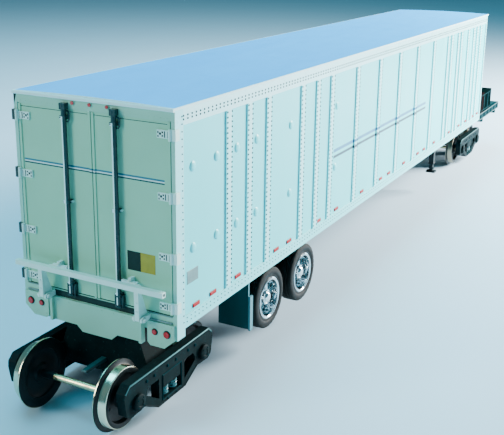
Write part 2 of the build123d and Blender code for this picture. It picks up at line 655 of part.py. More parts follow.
def upper_deck():
    """Raised box on the deck's rear part, open below."""
    rear = NOSE_X + DECK_GAP
    step = rear + UPPER_DECK_L
    z = (SILL_Z + LOWER_DECK_TOP, SILL_Z + UPPER_DECK_TOP)
    half = DECK_HALF_W
    inner = half - DECK_PLATE_T
    box = block((rear, step), (-half, half), z)
    hollow_x = (rear + DECK_PLATE_T, step - DECK_PLATE_T)
    return box - block(hollow_x, (-inner, inner), (z[0] - 1, z[1] - DECK_PLATE_T))


def draft_pocket(front):
    """Striker box at the sill's front end, open ahead for the coupler's shank."""
    middle = TREAD_Z + COUPLER_RISE
    sill_top = SILL_Z + DRAFT_SILL_TOP
    y = (-DRAFT_SILL_HALF_W, DRAFT_SILL_HALF_W)
    pocket = block((front - DRAFT_POCKET_L, front), y, (middle - 2.4, sill_top))
    pocket += block((front - 1.2, front), y, (sill_top, SILL_Z + DECK_BOTTOM))
    return pocket - block((front - 5.0, front + 1), (-1.4, 1.4), (middle - 1.2, middle + 1.2))


def coupler():
    """Knuckle coupler: shank, head, guard arm and knuckle."""
    front = NOSE_X + DECK_GAP + LOWER_DECK_L
    z = TREAD_Z + COUPLER_RISE
    tip = front + COUPLER_OUT
    points = [(front - 5.0, -0.9), (front + 1.0, -0.9), (front + 1.6, -2.6), (tip, -2.9), (tip - 0.6, -1.5),
              (tip - 2.0, -0.9), (tip - 2.2, 0.5), (tip - 1.2, 0.9), (tip - 0.4, 0.6), (tip, 1.4),
              (tip - 0.6, 2.4), (front + 1.6, 2.2), (front + 1.0, 0.9), (front - 5.0, 0.9)]
    return extrude(Pos(0, 0, z - 1.1) * outline_face(points), amount=2.2, dir=(0, 0, 1))


def tyre_rows():
    """Middle y of the inner and the outer tyre on the left."""
    outer = SIDE_Y - TYRE_OUT - TYRE_W / 2
    return outer - TYRE_W - TYRE_GAP, outer


def tyre(middle):
    """One tyre as (radius, y) points."""
    half = TYRE_W / 2
    return [(RIM_R, middle - half), (TYRE_R, middle - half), (TYRE_R, middle + half), (RIM_R, middle + half)]


def rim_profile():
    """Left pair of rims bolted together, with brake drum and hub, as (radius, y) points."""
    inner, outer = tyre_rows()
    half = TYRE_W / 2
    barrel = RIM_R - RIM_T
    lips = (inner - half + LIP_INSET, outer + half - LIP_INSET)
    bore = SPINDLE_R + PIN_GAP
    return [(bore, lips[0] + 0.8), (barrel, lips[0] + 0.8), (barrel, lips[0]), (RIM_R, lips[0]),
            (RIM_R, lips[1]), (barrel, lips[1]), (barrel, disc_y()), (HUB_R, disc_y()),
            (HUB_R, lips[1] - 1.0), (bore, lips[1] - 1.0)]


def disc_y():
    """Outer face of the rim's disc, deep inside the outer tyre."""
    inner, outer = tyre_rows()
    return (inner + outer) / 2 + 1.2


def rims(x, z):
    """Left rims of one axle end, with round hand holes in the outer disc."""
    body = turned(rim_profile(), x, z)
    for n in range(HAND_HOLES):
        turn = radians(360 / HAND_HOLES * n)
        hole_x = x + HAND_HOLE_PITCH_R * cos(turn)
        hole_z = z + HAND_HOLE_PITCH_R * sin(turn)
        body -= rod((hole_x, disc_y() - 1.4, hole_z), (hole_x, disc_y() + 1, hole_z), HAND_HOLE_R)
    return body


def road_axle(x, z):
    """Axle beam with a spindle at each end."""
    inner, outer = tyre_rows()
    beam_end = inner - TYRE_W / 2 + 0.3
    tip = outer + TYRE_W / 2 - 2.4
    return rod((x, -beam_end, z), (x, beam_end, z), ROAD_AXLE_R) + rod((x, -tip, z), (x, tip, z), SPINDLE_R)


def subframe():
    """Two rails under the floor, joined by cross members, with a hanger ahead of each axle."""
    x = (REAR_X + ROAD_AXLE_X[0] - SUBFRAME_REACH, REAR_X + ROAD_AXLE_X[1] + SUBFRAME_REACH)
    top = SILL_Z
    half = SUBFRAME_W / 2
    frame = block(x, (-SUBFRAME_Y - half, SUBFRAME_Y + half), (top - 1.0, top))
    frame -= block((x[0] + 3, x[1] - 3), (half - SUBFRAME_Y, SUBFRAME_Y - half), (top - 2, top + 1))
    for side in (-1, 1):
        y = (side * SUBFRAME_Y - half, side * SUBFRAME_Y + half)
        frame += block(x, y, (top - SUBFRAME_H, top))
        for axle in ROAD_AXLE_X:
            pin_x = REAR_X + axle + ARM_PIVOT_AHEAD
            low = top - SUBFRAME_H - HANGER_L
            root = top - SUBFRAME_H
            points = [(pin_x - 2.4, root), (pin_x - 1.0, low), (pin_x + 1.0, low), (pin_x + 2.4, root)]
            frame += plate_across(points, y)
    return frame


def trailing_arms(x, z):
    """Left trailing arm of one axle: from the hanger, over the beam, to the air spring's seat."""
    y = (SUBFRAME_Y - SUBFRAME_W / 2, SUBFRAME_Y + SUBFRAME_W / 2)
    seat = z + ROAD_AXLE_R
    eye_top = SILL_Z - SUBFRAME_H - HANGER_L
    eye = (x + ARM_PIVOT_AHEAD - 1.2, x + ARM_PIVOT_AHEAD + 1.2)
    tail = x - ARM_TAIL
    points = [(eye[1], eye_top), (eye[1], eye_top - 1.8), (x + 3, seat), (tail, seat),
              (tail, seat + AIR_SEAT), (x - 3.6, seat + AIR_SEAT), (x - 2.4, seat + 1.8),
              (x + 3, seat + 1.8), (eye[0], eye_top)]
    return plate_across(points, y)


def air_spring(x, z):
    """Left air spring between the arm's tail and the subframe."""
    seat_x = x - AIR_SPRING_BACK
    seat_z = z + ROAD_AXLE_R + AIR_SEAT
    return rod((seat_x, SUBFRAME_Y, seat_z), (seat_x, SUBFRAME_Y, SILL_Z - SUBFRAME_H), AIR_SPRING_R)


def mud_flap():
    """Left mud flap behind the rear tyres, with its bracket and side strip."""
    x = REAR_X + ROAD_AXLE_X[0] - TYRE_R - FLAP_GAP
    inner, outer = tyre_rows()
    y = (inner - TYRE_W / 2 + 0.4, outer + TYRE_W / 2 - 1.0)
    foot = SILL_Z - FLAP_DROP
    bar_z = (SILL_Z - FLAP_BAR_T, SILL_Z)
    flap = block((x, x + FLAP_T), y, (foot, bar_z[0]))
    flap += block((x - 0.2, x + 1.6), (y[0], SIDE_Y - RAIL_LEG / 2), bar_z)
    strip_z = (foot - 0.4, SILL_Z - FLAP_STRIP_TOP)
    return flap + block((x, x + 3 * FLAP_T), (y[1], y[1] + FLAP_STRIP_W), strip_z)


def air_tanks():
    """Two tanks across the floor ahead of the subframe, joined by their hangers."""
    tanks = Part()
    for n in range(2):
        x = REAR_X + ROAD_AXLE_X[1] + SUBFRAME_REACH + TANK_AHEAD + TANK_PITCH * n
        z = SILL_Z - TANK_R - 0.8
        tanks += rod((x, -TANK_HALF_L, z), (x, TANK_HALF_L, z), TANK_R)
        for side in (-1, 1):
            y = sorted((side * 6.0, side * 7.0))
            tanks += block((x - MOUNT_PLATE_L / 4, x + MOUNT_PLATE_L / 4), y, (z + 1.6, SILL_Z))
    return tanks


def landing_leg():
    """Left landing leg, wound up, with its foot."""
    x = NOSE_X - LEG_FROM_NOSE
    half = LEG_SIDE / 2
    low = SILL_Z - LEG_L
    leg = block((x - half, x + half), (LEG_Y - half, LEG_Y + half), (low + LEG_TUBE, SILL_Z))
    plate_x = (x - MOUNT_PLATE_L / 2, x + MOUNT_PLATE_L / 2)
    leg += block(plate_x, (LEG_Y - half, LEG_Y + half), (SILL_Z - 0.6, SILL_Z))
    thin = half - 0.4
    leg += block((x - thin, x + thin), (LEG_Y - thin, LEG_Y + thin), (low, low + LEG_TUBE))
    reach = SHOE_L / 2
    foot = [(x - reach, low - SHOE_T + 0.5), (x - reach + 0.8, low - SHOE_T), (x + reach - 0.8, low - SHOE_T),
            (x + reach, low - SHOE_T + 0.5), (x + half, low), (x - half, low)]
    return leg + plate_across(foot, (LEG_Y - SHOE_W / 2, LEG_Y + SHOE_W / 2))


def landing_brace():
    """Cross shaft between the legs, and the crank on the left."""
    x = NOSE_X - LEG_FROM_NOSE
    z = SILL_Z - SHAFT_DROP
    inner = LEG_Y - LEG_SIDE / 2
    outer = LEG_Y + LEG_SIDE / 2
    shaft = rod((x, -inner, z), (x, inner, z), 0.5)
    crank = rod((x, outer, z), (x, outer + CRANK_OUT, z), 0.5)
    crank += rod((x, outer + CRANK_OUT - 0.4, z), (x - 2 * CRANK_OUT, outer + CRANK_OUT - 0.4, z), 0.4)
    brace = []
    for side in (-1, 1):
        y = sorted((side * (LEG_Y - BRACE_W / 2), side * (LEG_Y + BRACE_W / 2)))
        back = x - LEG_SIDE / 2
        far = x - BRACE_REACH
        top = SILL_Z - 0.6
        points = [(back, z - 5.0), (back, z - 3.6), (far + 1.0, top), (far, top), (far, top - 1.0)]
        brace.append(plate_across(points, y))
    return [shaft, crank] + brace


def build():
    """Write every sub-part."""
    os.makedirs("parts", exist_ok=True)
    axle_z = SILL_Z - ROAD_AXLE_DROP
    left_panel = side_panel()
    save("side_panel_left", left_panel)
    save("side_panel_right", other_side(left_panel))
    lower = side_rail((SILL_Z, SILL_Z + RAIL_LEG_T), (SILL_Z + RAIL_LEG_T, SILL_Z + LOWER_RAIL_H))
    upper = side_rail((TOP_Z - RAIL_LEG_T, TOP_Z), (TOP_Z - UPPER_RAIL_H, TOP_Z - RAIL_LEG_T))
    on_left = {
        "lower_side_rails": [lower], "upper_side_rails": [upper], "nose_corner_posts": [nose_corner()],
        "rear_corner_posts": [corner_post()], "lock_rods": [lock_rod()], "door_hinges": door_hinges(),
        "hinge_butts": hinge_butts(), "lamp_plates": [lamp_plate()],
        "guard_lugs": guard_lugs(), "mud_flaps": [mud_flap()], "landing_legs": [landing_leg()],
        "trailing_arms": [trailing_arms(REAR_X + along, axle_z) for along in ROAD_AXLE_X],
        "air_springs": [air_spring(REAR_X + along, axle_z) for along in ROAD_AXLE_X],
    }
    for name, shapes in on_left.items():
        save(name, *shapes, *[other_side(shape) for shape in shapes])
    save("door_left", door_leaf())
    save("door_right", other_side(door_leaf()))
    lamps = tail_lamps() + [other_side(lamp) for lamp in tail_lamps()] + marker_lamps()
    single = {
        "roof": [roof()], "floor": [floor()], "nose_wall": [nose_wall()], "rear_header": [rear_header()],
        "rear_sill": [rear_sill()], "tongue_pocket": [tongue_pocket()], "rear_lamps": lamps,
        "rear_apron": [apron()], "underride_guard": [underride_guard()], "subframe": [subframe()],
        "road_axle_beams": [road_axle(REAR_X + along, axle_z) for along in ROAD_AXLE_X],
        "air_tanks": [air_tanks()], "landing_brace": landing_brace(), "kingpin_plate": [kingpin_plate()],
        "rear_pivot_plate": [pivot_plate((REAR_X + CORNER_POST_D, REAR_X + PIVOT_PLATE_L), REAR_PIVOT_X)],
        "deck_frame": [deck_frame()], "upper_deck": [upper_deck()], "coupler": [coupler()],
    }
    for name, shapes in single.items():
        save(name, *shapes)
    save_bogie("rear", REAR_PIVOT_X, -1)
    save_bogie("front", FRONT_PIVOT_X, 1)
    for number, along in zip(("rear", "front"), ROAD_AXLE_X):
        x = REAR_X + along
        inner, outer = tyre_rows()
        tyres = [turned(tyre(row), x, axle_z) for row in (inner, outer)]
        rim = rims(x, axle_z)
        save(f"road_tyres_{number}_left", *tyres)
        save(f"road_tyres_{number}_right", *[other_side(shape) for shape in tyres])
        save(f"road_rims_{number}_left", rim)
        save(f"road_rims_{number}_right", other_side(rim))


def save_bogie(end, x, outward):
    """Write one bogie; outward is the side of the pivot on which the body ends."""
    on_left = {"side_frames": [side_frame(x)], "springs": springs(x), "brakes": brake_shoes(x)}
    for name, shapes in on_left.items():
        save(f"{end}_bogie_{name}", *shapes, *[other_side(shape) for shape in shapes])
    save(f"{end}_bogie_bolster", bolster(x))
    tip = FRAME_Y + 1.8
    for place, side in (("outer", outward), ("inner", -outward)):
        axle_x = x + side * WHEELBASE / 2
        left = turned(wheel(), axle_x, FLANGE_R)
        save(f"{end}_bogie_wheels_{place}", left, other_side(left))
        save(f"{end}_bogie_axle_{place}", rod((axle_x, -tip, FLANGE_R), (axle_x, tip, FLANGE_R), AXLE_R))


build()
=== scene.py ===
import json
from math import cos, radians, sin, tau

import bmesh
import bpy
from mathutils import Matrix, Vector

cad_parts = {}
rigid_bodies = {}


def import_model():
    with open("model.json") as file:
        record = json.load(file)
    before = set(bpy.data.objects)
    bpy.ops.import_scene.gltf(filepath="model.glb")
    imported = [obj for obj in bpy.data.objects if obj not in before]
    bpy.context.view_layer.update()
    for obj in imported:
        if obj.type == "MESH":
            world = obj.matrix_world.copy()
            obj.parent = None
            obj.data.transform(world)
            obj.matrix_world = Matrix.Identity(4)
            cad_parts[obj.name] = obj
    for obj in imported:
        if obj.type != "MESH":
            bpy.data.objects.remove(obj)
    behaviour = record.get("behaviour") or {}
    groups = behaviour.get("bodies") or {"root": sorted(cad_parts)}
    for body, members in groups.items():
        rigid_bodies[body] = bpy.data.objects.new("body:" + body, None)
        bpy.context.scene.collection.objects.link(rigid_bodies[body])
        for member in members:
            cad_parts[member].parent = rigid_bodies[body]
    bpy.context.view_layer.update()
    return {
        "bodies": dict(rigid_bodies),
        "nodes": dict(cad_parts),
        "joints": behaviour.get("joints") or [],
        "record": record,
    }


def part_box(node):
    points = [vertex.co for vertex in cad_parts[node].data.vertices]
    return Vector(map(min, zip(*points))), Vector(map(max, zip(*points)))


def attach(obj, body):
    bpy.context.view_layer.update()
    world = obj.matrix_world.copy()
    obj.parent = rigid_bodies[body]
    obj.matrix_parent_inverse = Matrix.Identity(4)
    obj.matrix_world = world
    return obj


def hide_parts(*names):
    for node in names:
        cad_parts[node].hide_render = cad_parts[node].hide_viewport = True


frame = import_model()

MM = 0.001
NODES = frame["nodes"]


def node_box(name):
    """Lowest and highest corners of a CAD node, in millimetres."""
    low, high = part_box(name)
    return low / MM, high / MM


def node_middle(name):
    """Middle of a CAD node, in millimetres."""
    low, high = node_box(name)
    return (low + high) / 2


# Sizes that the CAD model has too, in millimetres
WALL_T = 1.2
STRIP_T = 0.4
CORNER_POST_W = 1.2
HEADER_H = 2.8
SILL_TOP = 4.6
DOOR_INSET = 0.3
ROD_Y = 8.4
LAMP_PLATE_T = 0.8
LAMP_PLATE_INSET = 0.6
GUARD_ARM_Y = 16.8
GUARD_PIVOT_BACK = 3.4
GUARD_PIVOT_UP = 3.4
BACK_TO_BACK = 25.4
WHEEL_W = 3.4
FRAME_GAP = 1.5
FRAME_T = 2.8
SPRING_R = 1.3
TYRE_W = 5.4
TYRE_GAP = 1.6
TYRE_OUT = 0.2
AIR_SPRING_R = 2.4
LEG_FROM_NOSE = 70.0
LEG_Y = 19.0
DECK_HALF_W = 25.4

# Places read from the frame, in millimetres
REAR = node_box("rear_header")[0].x
NOSE = node_box("nose_wall")[0].x + WALL_T
SILL = node_box("lower_side_rails")[0].z
TOP = node_box("upper_side_rails")[1].z
SIDE = node_box("lower_side_rails")[1].y
SHEET = SIDE - STRIP_T
DOOR_FACE = REAR + DOOR_INSET
LAMP_FACE = REAR - LAMP_PLATE_T
MIDDLE = (SILL + TOP) / 2

# Camera, fitted to the van's corners in the photo, in millimetres and degrees
CAMERA_BEHIND = 181.53
CAMERA_SIDE = -145.09
CAMERA_ABOVE = 104.78
VIEW_AZIMUTH = -62.20
VIEW_ELEVATION = 15.76
VIEW_ROLL = 0.73
LENS_MM = 61.8
SHIFT_Y = -0.0744
NEAREST_SEEN = 0.01


def aim_camera():
    """Camera at the photo's viewpoint."""
    camera = bpy.data.objects.new("camera", bpy.data.cameras.new("camera"))
    bpy.context.scene.collection.objects.link(camera)
    bpy.context.scene.camera = camera
    camera.data.lens = LENS_MM
    camera.data.shift_y = SHIFT_Y
    camera.data.clip_start = NEAREST_SEEN
    around = radians(VIEW_AZIMUTH)
    up = radians(VIEW_ELEVATION)
    ahead = Vector((-sin(around) * cos(up), cos(around) * cos(up), -sin(up)))
    turn = ahead.to_track_quat("-Z", "Y").to_matrix().to_4x4()
    roll = Matrix.Rotation(radians(VIEW_ROLL), 4, "Z")
    place = Vector((REAR - CAMERA_BEHIND, CAMERA_SIDE, SILL + CAMERA_ABOVE)) * MM
    camera.matrix_world = Matrix.Translation(place) @ turn @ roll


aim_camera()


def add_light(name, at, aim, size, power, colour):
    """Soft rectangular lamp."""
    data = bpy.data.lights.new(name, "AREA")
    data.shape = "RECTANGLE"
    data.size, data.size_y = size
    data.energy = power
    data.color = colour
    lamp = bpy.data.objects.new(name, data)
    bpy.context.scene.collection.objects.link(lamp)
    lamp.location = at
    lamp.rotation_euler = (Vector(aim) - Vector(at)).to_track_quat("-Z", "Y").to_euler()


# Columns: name, place, aim, size, power, colour, in metres and watts
LIGHTS = [
    ("key", (0.41, -0.32, 0.23), (0.17, 0, 0.05), (0.25, 0.25), 20, (1.0, 1.0, 0.98)),
    ("fill", (-0.75, 0.45, 0.38), (-0.15, 0, 0.05), (0.2, 0.45), 3.8, (0.93, 1.0, 0.92)),
    ("top", (0.0, 0.25, 0.90), (0, 0, 0), (0.9, 0.5), 13, (0.15, 0.76, 1.0)),
]
SKY_COLOUR = (0.22, 0.70, 0.90, 1)
SKY_STRENGTH = 0.26
for row in LIGHTS:
    add_light(*row)
world = bpy.data.worlds.new("studio")
bpy.context.scene.world = world
world.use_nodes = True
sky = world.node_tree.nodes["Background"]
sky.inputs["Color"].default_value = SKY_COLOUR
sky.inputs["Strength"].default_value = SKY_STRENGTH


class Finish:
    """A node material while it is put together."""

    def __init__(self, name):
        self.material = bpy.data.materials.new(name)
        self.material.use_nodes = True
        self.nodes = self.material.node_tree.nodes
        self.links = self.material.node_tree.links
        self.shader = self.nodes["Principled BSDF"]
        self.place = self.nodes.new("ShaderNodeTexCoord").outputs["Object"]

    def feed(self, socket, value):
        """Give a socket a number, a vector, a colour or a link."""
        if isinstance(value, (int, float)):
            socket.default_value = value
        elif isinstance(value, tuple):
            socket.default_value = value if socket.type == "VECTOR" else (*value, 1)
        else:
            self.links.new(value, socket)

    def wire(self, node, output, inputs):
        """An output of a node whose inputs are fed."""
        for name, value in inputs.items():
            self.feed(node.inputs[name], value)
        return node.outputs[output]

    def node(self, kind, output, inputs):
        """An output of a new node whose inputs are fed."""
        return self.wire(self.nodes.new(kind), output, inputs)

    def noise(self, scale, stretch=(1, 1, 1), detail=5):
        """Noise over the object's own coordinates, from 0 to 1."""
        place = self.node("ShaderNodeMapping", "Vector", {"Vector": self.place, "Scale": stretch})
        return self.node("ShaderNodeTexNoise", "Fac", {"Vector": place, "Scale": scale, "Detail": detail})

    def spread(self, value, low, high, to_low=0.0, to_high=1.0):
        """A value's range moved to another, and held inside it."""
        limits = {"From Min": low, "From Max": high, "To Min": to_low, "To Max": to_high}
        return self.node("ShaderNodeMapRange", "Result", {"Value": value, **limits})

    def math(self, operation, *values):
        """One sum with sockets or numbers."""
        node = self.nodes.new("ShaderNodeMath")
        node.operation = operation
        return self.wire(node, "Value", dict(enumerate(values)))

    def mix(self, share, first, second):
        """Two colours mixed by a share; each is a socket or a colour."""
        node = self.nodes.new("ShaderNodeMix")
        node.data_type = "RGBA"
        return self.wire(node, "Result", {"Factor": share, "A": first, "B": second})

    def axis(self, name):
        """The object's own X, Y or Z."""
        return self.node("ShaderNodeSeparateXYZ", name, {"Vector": self.place})

    def finish(self, inputs, height, strength, depth_mm):
        """Feed the shader's inputs, and its normal with relief from a height."""
        relief = {"Height": height, "Strength": strength, "Distance": depth_mm * MM}
        inputs["Normal"] = self.node("ShaderNodeBump", "Normal", relief)
        for name, value in inputs.items():
            self.feed(self.shader.inputs[name], value)


# Noise from one tone to the other, and from no wear to full wear where its share is 0
NOISE_LOW = 0.3
NOISE_HIGH = 0.7
WEAR_LOW = 0.68
WEAR_HIGH = 0.72
PATCHES_FINER = 4
GLOSS_SWING = 0.07
LEAST_ROUGHNESS = 0.02


def make_finish(name, colour, roughness, spread, shine, metallic=0.0, coat=0.0, scale=300.0,
                stretch=(1, 1, 1), grain=(3000, 0.15, 0.02), worn=None, stripes=()):
    """Painted, moulded or turned surface with change of tone, gloss and grain, wear and stripes.

    grain is scale, strength and depth in mm, and worn the colour and share of the wear patches.
    stripes are (axis, from, to, height, half thickness, colour), in mm; some of them are painted shade and
    painted highlights.
    """
    work = Finish(name)
    clouds = work.noise(scale, stretch)
    patches = work.noise(scale * PATCHES_FINER, stretch)
    darker = tuple(c * (1 - spread) for c in colour)
    lighter = tuple(min(1, c * (1 + spread)) for c in colour)
    tone = work.mix(work.spread(clouds, NOISE_LOW, NOISE_HIGH), darker, lighter)
    for axis, low, high, height, half, shade in stripes:
        along = work.math("COMPARE", work.axis(axis), (low + high) / 2 * MM, (high - low) / 2 * MM)
        across = work.math("COMPARE", work.axis("Z"), height * MM, half * MM)
        tone = work.mix(work.math("MULTIPLY", along, across), tone, shade)
    if worn:
        shade, share = worn
        tone = work.mix(work.spread(patches, WEAR_LOW - share, WEAR_HIGH - share), tone, shade)
    smooth = max(LEAST_ROUGHNESS, roughness - GLOSS_SWING)
    rough = min(1, roughness + GLOSS_SWING)
    gloss = work.spread(patches, NOISE_LOW, NOISE_HIGH, smooth, rough)
    inputs = {"Base Color": tone, "Roughness": gloss, "Metallic": metallic, "Coat Weight": coat,
              "Specular IOR Level": shine}
    work.finish(inputs, work.noise(grain[0], stretch, 2), grain[1], grain[2])
    return work.material


# Colours of stripes, of painted shade and painted highlights, and those that two finishes share
WHITE = (0.66, 0.92, 0.93)
POST_WHITE = (0.42, 0.88, 0.89)
TRIM_WHITE = (0.62, 0.86, 0.80)
# SHADE_GREEN is painted shade, for the rear faces of the corner posts
SHADE_GREEN = (0.29, 0.60, 0.48)
NEAR_BLACK = (0.008, 0.03, 0.028)
ROD_TEAL = (0.004, 0.035, 0.038)
EDGE_TEAL = (0.10, 0.28, 0.33)
LIGHT_BLUE = (0.005, 0.20, 0.38)
DARK_BLUE = (0.0, 0.035, 0.06)

# Posts of the sides: ahead of the rear face, behind the nose, and half the width of one
REAR_POSTS = [28.6 + 12.6 * n for n in (0, 1, 2, 4, 5, 6, 8, 10, 12, 14, 16)]
NOSE_POSTS = [81.5, 74.9, 62.4, 56.2, 42.0, 30.2, 22.7, 14.9]
POSTS = [REAR + ahead for ahead in REAR_POSTS] + [NOSE - back for back in NOSE_POSTS]
POST_HALF = 1.2
HINGE_HEIGHTS = [SILL + 7.3] + [TOP - 6.4 - 16.9 * n for n in (2, 1, 0)]
FLAP_OUTER = node_box("mud_flaps")[1].y
DECK_REAR = node_box("upper_deck")[0].x
# Half of a height that takes in the whole side
ALL_HEIGHTS = 40

# Stripes, painted shade and painted highlights of a node. Columns: axis, from, to, height, half thickness,
# colour
STRIPE_ENDS = (REAR + 107.6, REAR + 221.6)
SIDE_STRIPES = [
    ("X", *STRIPE_ENDS, SILL + 28.4, 0.6, LIGHT_BLUE),
    ("X", *STRIPE_ENDS, SILL + 26.1, 0.5, DARK_BLUE),
]
DOOR_STRIPES = [
    ("Y", -23.4, 24.4, SILL + 42.25, 0.20, (0.62, 0.80, 0.76)),
    ("Y", -23.4, 24.4, SILL + 42.70, 0.26, (0.030, 0.18, 0.25)),
    ("Y", -23.4, 24.4, SILL + 41.85, 0.20, (0.006, 0.06, 0.065)),
]
POST_FACES = [
    ("X", post - POST_HALF, post + POST_HALF, MIDDLE, ALL_HEIGHTS, POST_WHITE) for post in POSTS
]
ROOF_EDGES = [
    ("X", REAR - 2.0, REAR + 0.1, TOP, 5, WHITE),
    ("Y", SIDE - 0.35, SIDE + 1, TOP, 5, WHITE),
    ("Y", -SIDE - 1, -SIDE + 0.35, TOP, 5, WHITE),
]
# Rear faces of the corner posts in shaded green: painted shade
CORNER_PAINTED_SHADE = [("X", REAR - 1, REAR + 0.1, MIDDLE, ALL_HEIGHTS, SHADE_GREEN)]
# Left hinge butts near black: painted shade of the side turned away from the light
BUTT_PAINTED_SHADE = [("Y", 26.0, 28.0, height, 1.8, NEAR_BLACK) for height in HINGE_HEIGHTS]
# White on each lock rod's left flank is a painted highlight; white at the handles' height is the grips'
# own colour
ROD_HIGHLIGHTS_AND_GRIPS = [
    ("Y", ROD_Y - 0.05, ROD_Y + 0.85, MIDDLE, 26, WHITE),
    ("Y", -ROD_Y - 0.05, -ROD_Y + 0.85, MIDDLE, 26, WHITE),
    ("Y", ROD_Y + 1.2, ROD_Y + 8, SILL + 12.4, 2, WHITE),
    ("Y", -ROD_Y - 8, -ROD_Y - 1.2, SILL + 12.4, 2, WHITE),
]
FLAP_EDGES = [
    ("Y", FLAP_OUTER - 0.7, FLAP_OUTER + 1, SILL - 12, 12, EDGE_TEAL),
    ("Y", -FLAP_OUTER - 1, -FLAP_OUTER + 0.7, SILL - 12, 12, EDGE_TEAL),
]
DECK_SHADE = [("X", DECK_REAR - 1, DECK_REAR + 9, SILL + 8, 12, (0.008, 0.005, 0.005))]

# Turned metal: stretch of its noise, and grain
TURNED = (0.05, 1, 0.05)
TURNED_GRAIN = (1800, 0.25, 0.02)

# Columns: name, colour, roughness, spread of the tone, shine, what else make_finish is given
LOOKS = [
    ("panel_white", (0.08, 0.74, 0.78), 0.38, 0.025, 0.35,
     dict(scale=60, stretch=(1, 1, 0.3), coat=0.05, stripes=POST_FACES + SIDE_STRIPES)),
    ("rail_white", (0.46, 0.88, 0.90), 0.33, 0.02, 0.4, dict(scale=90, coat=0.1)),
    ("sill_white", (0.20, 0.80, 0.83), 0.35, 0.02, 0.4, dict(scale=90, coat=0.05)),
    # rivet_blue: rivets in near-black blue, a painted shade of their shaded sides
    ("rivet_blue", (0.01, 0.07, 0.08), 0.7, 0.08, 0.1, dict(scale=900)),
    # roof_blue: the roof's strong blue is a painted reflection of blue sky
    ("roof_blue", (0.0, 0.46, 1.0), 0.5, 0.03, 0.05,
     dict(scale=50, stretch=(0.3, 1, 1), stripes=ROOF_EDGES)),
    # corner_white: white posts whose rear faces carry painted shade
    ("corner_white", (0.28, 0.82, 0.85), 0.33, 0.02, 0.5, dict(scale=90, coat=0.2, stripes=CORNER_PAINTED_SHADE)),
    # butt_white: white hinge butts, the left ones with near-black painted shade
    ("butt_white", TRIM_WHITE, 0.36, 0.02, 0.5, dict(scale=200, stripes=BUTT_PAINTED_SHADE)),
    ("door_green", (0.29, 0.60, 0.42), 0.45, 0.03, 0.35, dict(scale=80, stripes=DOOR_STRIPES)),
    ("rear_green", (0.29, 0.58, 0.44), 0.40, 0.03, 0.5, dict(scale=120, coat=0.1)),
    ("trim_white", TRIM_WHITE, 0.36, 0.02, 0.5, dict(scale=200, coat=0.1)),
    ("rod_teal", ROD_TEAL, 0.25, 0.12, 0.4, dict(stretch=(1, 1, 0.2))),
    # Lock rods with a painted highlight on their left flanks, and white grips
    ("rod_lit", ROD_TEAL, 0.25, 0.12, 0.4, dict(stretch=(1, 1, 0.2), stripes=ROD_HIGHLIGHTS_AND_GRIPS)),
    ("frame_black", (0.002, 0.010, 0.012), 0.55, 0.2, 0.2, dict(worn=((0.008, 0.03, 0.033), 0.04))),
    ("flap_teal", (0.002, 0.060, 0.066), 0.6, 0.15, 0.15, dict(stretch=(1, 1, 0.4), stripes=FLAP_EDGES)),
    ("lever_teal", (0.004, 0.085, 0.092), 0.5, 0.15, 0.5, {}),
    ("strip_teal", (0.04, 0.20, 0.23), 0.4, 0.08, 0.5, {}),
    ("deck_teal", (0.0005, 0.022, 0.027), 0.6, 0.18, 0.02, dict(worn=((0.006, 0.04, 0.042), 0.05))),
    ("deck_brown", (0.001, 0.005, 0.005), 0.7, 0.2, 0.0,
     dict(worn=((0.004, 0.014, 0.013), 0.06), stripes=DECK_SHADE)),
    ("cast_black", (0.002, 0.010, 0.011), 0.55, 0.25, 0.05,
     dict(grain=(2200, 0.35, 0.05), worn=((0.010, 0.035, 0.035), 0.03))),
    # cast_edge: light metal, a painted highlight along the side frames' top edges, and the coupler's
    # knuckle pin
    ("cast_edge", (0.06, 0.17, 0.17), 0.34, 0.15, 0.5, dict(metallic=0.7, scale=700)),
    ("wheel_black", (0.002, 0.007, 0.008), 0.42, 0.2, 0.25, {}),
    ("steel", (0.80, 0.74, 0.54), 0.2, 0.05, 0.5,
     dict(metallic=1.0, scale=900, stretch=TURNED, grain=TURNED_GRAIN)),
    # steel_dull: a darker copy of steel, painted shade for the wheels that sit in shadow
    ("steel_dull", (0.26, 0.24, 0.18), 0.36, 0.08, 0.5,
     dict(metallic=1.0, scale=900, stretch=TURNED, grain=TURNED_GRAIN)),
    ("brass", (0.80, 0.68, 0.40), 0.28, 0.08, 0.5,
     dict(metallic=1.0, scale=900, stretch=(1, 0.1, 1), worn=((0.42, 0.30, 0.22), 0.05))),
    ("rubber", (0.0025, 0.0045, 0.005), 0.65, 0.2, 0.22,
     dict(grain=(2600, 0.3, 0.03), worn=((0.008, 0.011, 0.011), 0.06))),
    ("tread", (0.010, 0.013, 0.012), 0.8, 0.25, 0.2, dict(grain=(1800, 0.35, 0.04))),
    ("chrome", (0.86, 0.92, 0.94), 0.08, 0.02, 0.5, dict(metallic=1.0, scale=500)),
    ("reflector_red", (0.40, 0.008, 0.012), 0.5, 0.12, 0.15, dict(scale=1200)),
    ("lamp_red", (0.52, 0.008, 0.012), 0.18, 0.12, 0.5, dict(scale=1200, coat=0.4)),
    ("plate_ochre", (0.36, 0.30, 0.02), 0.5, 0.10, 0.5, dict(scale=600)),
    ("plate_grey", (0.14, 0.24, 0.24), 0.4, 0.15, 0.5, dict(scale=500)),
    ("seal_black", NEAR_BLACK, 0.7, 0.15, 0.2, {}),
]
PAINT = {}
for name, *row, more in LOOKS:
    PAINT[name] = make_finish(name, *row, **more)

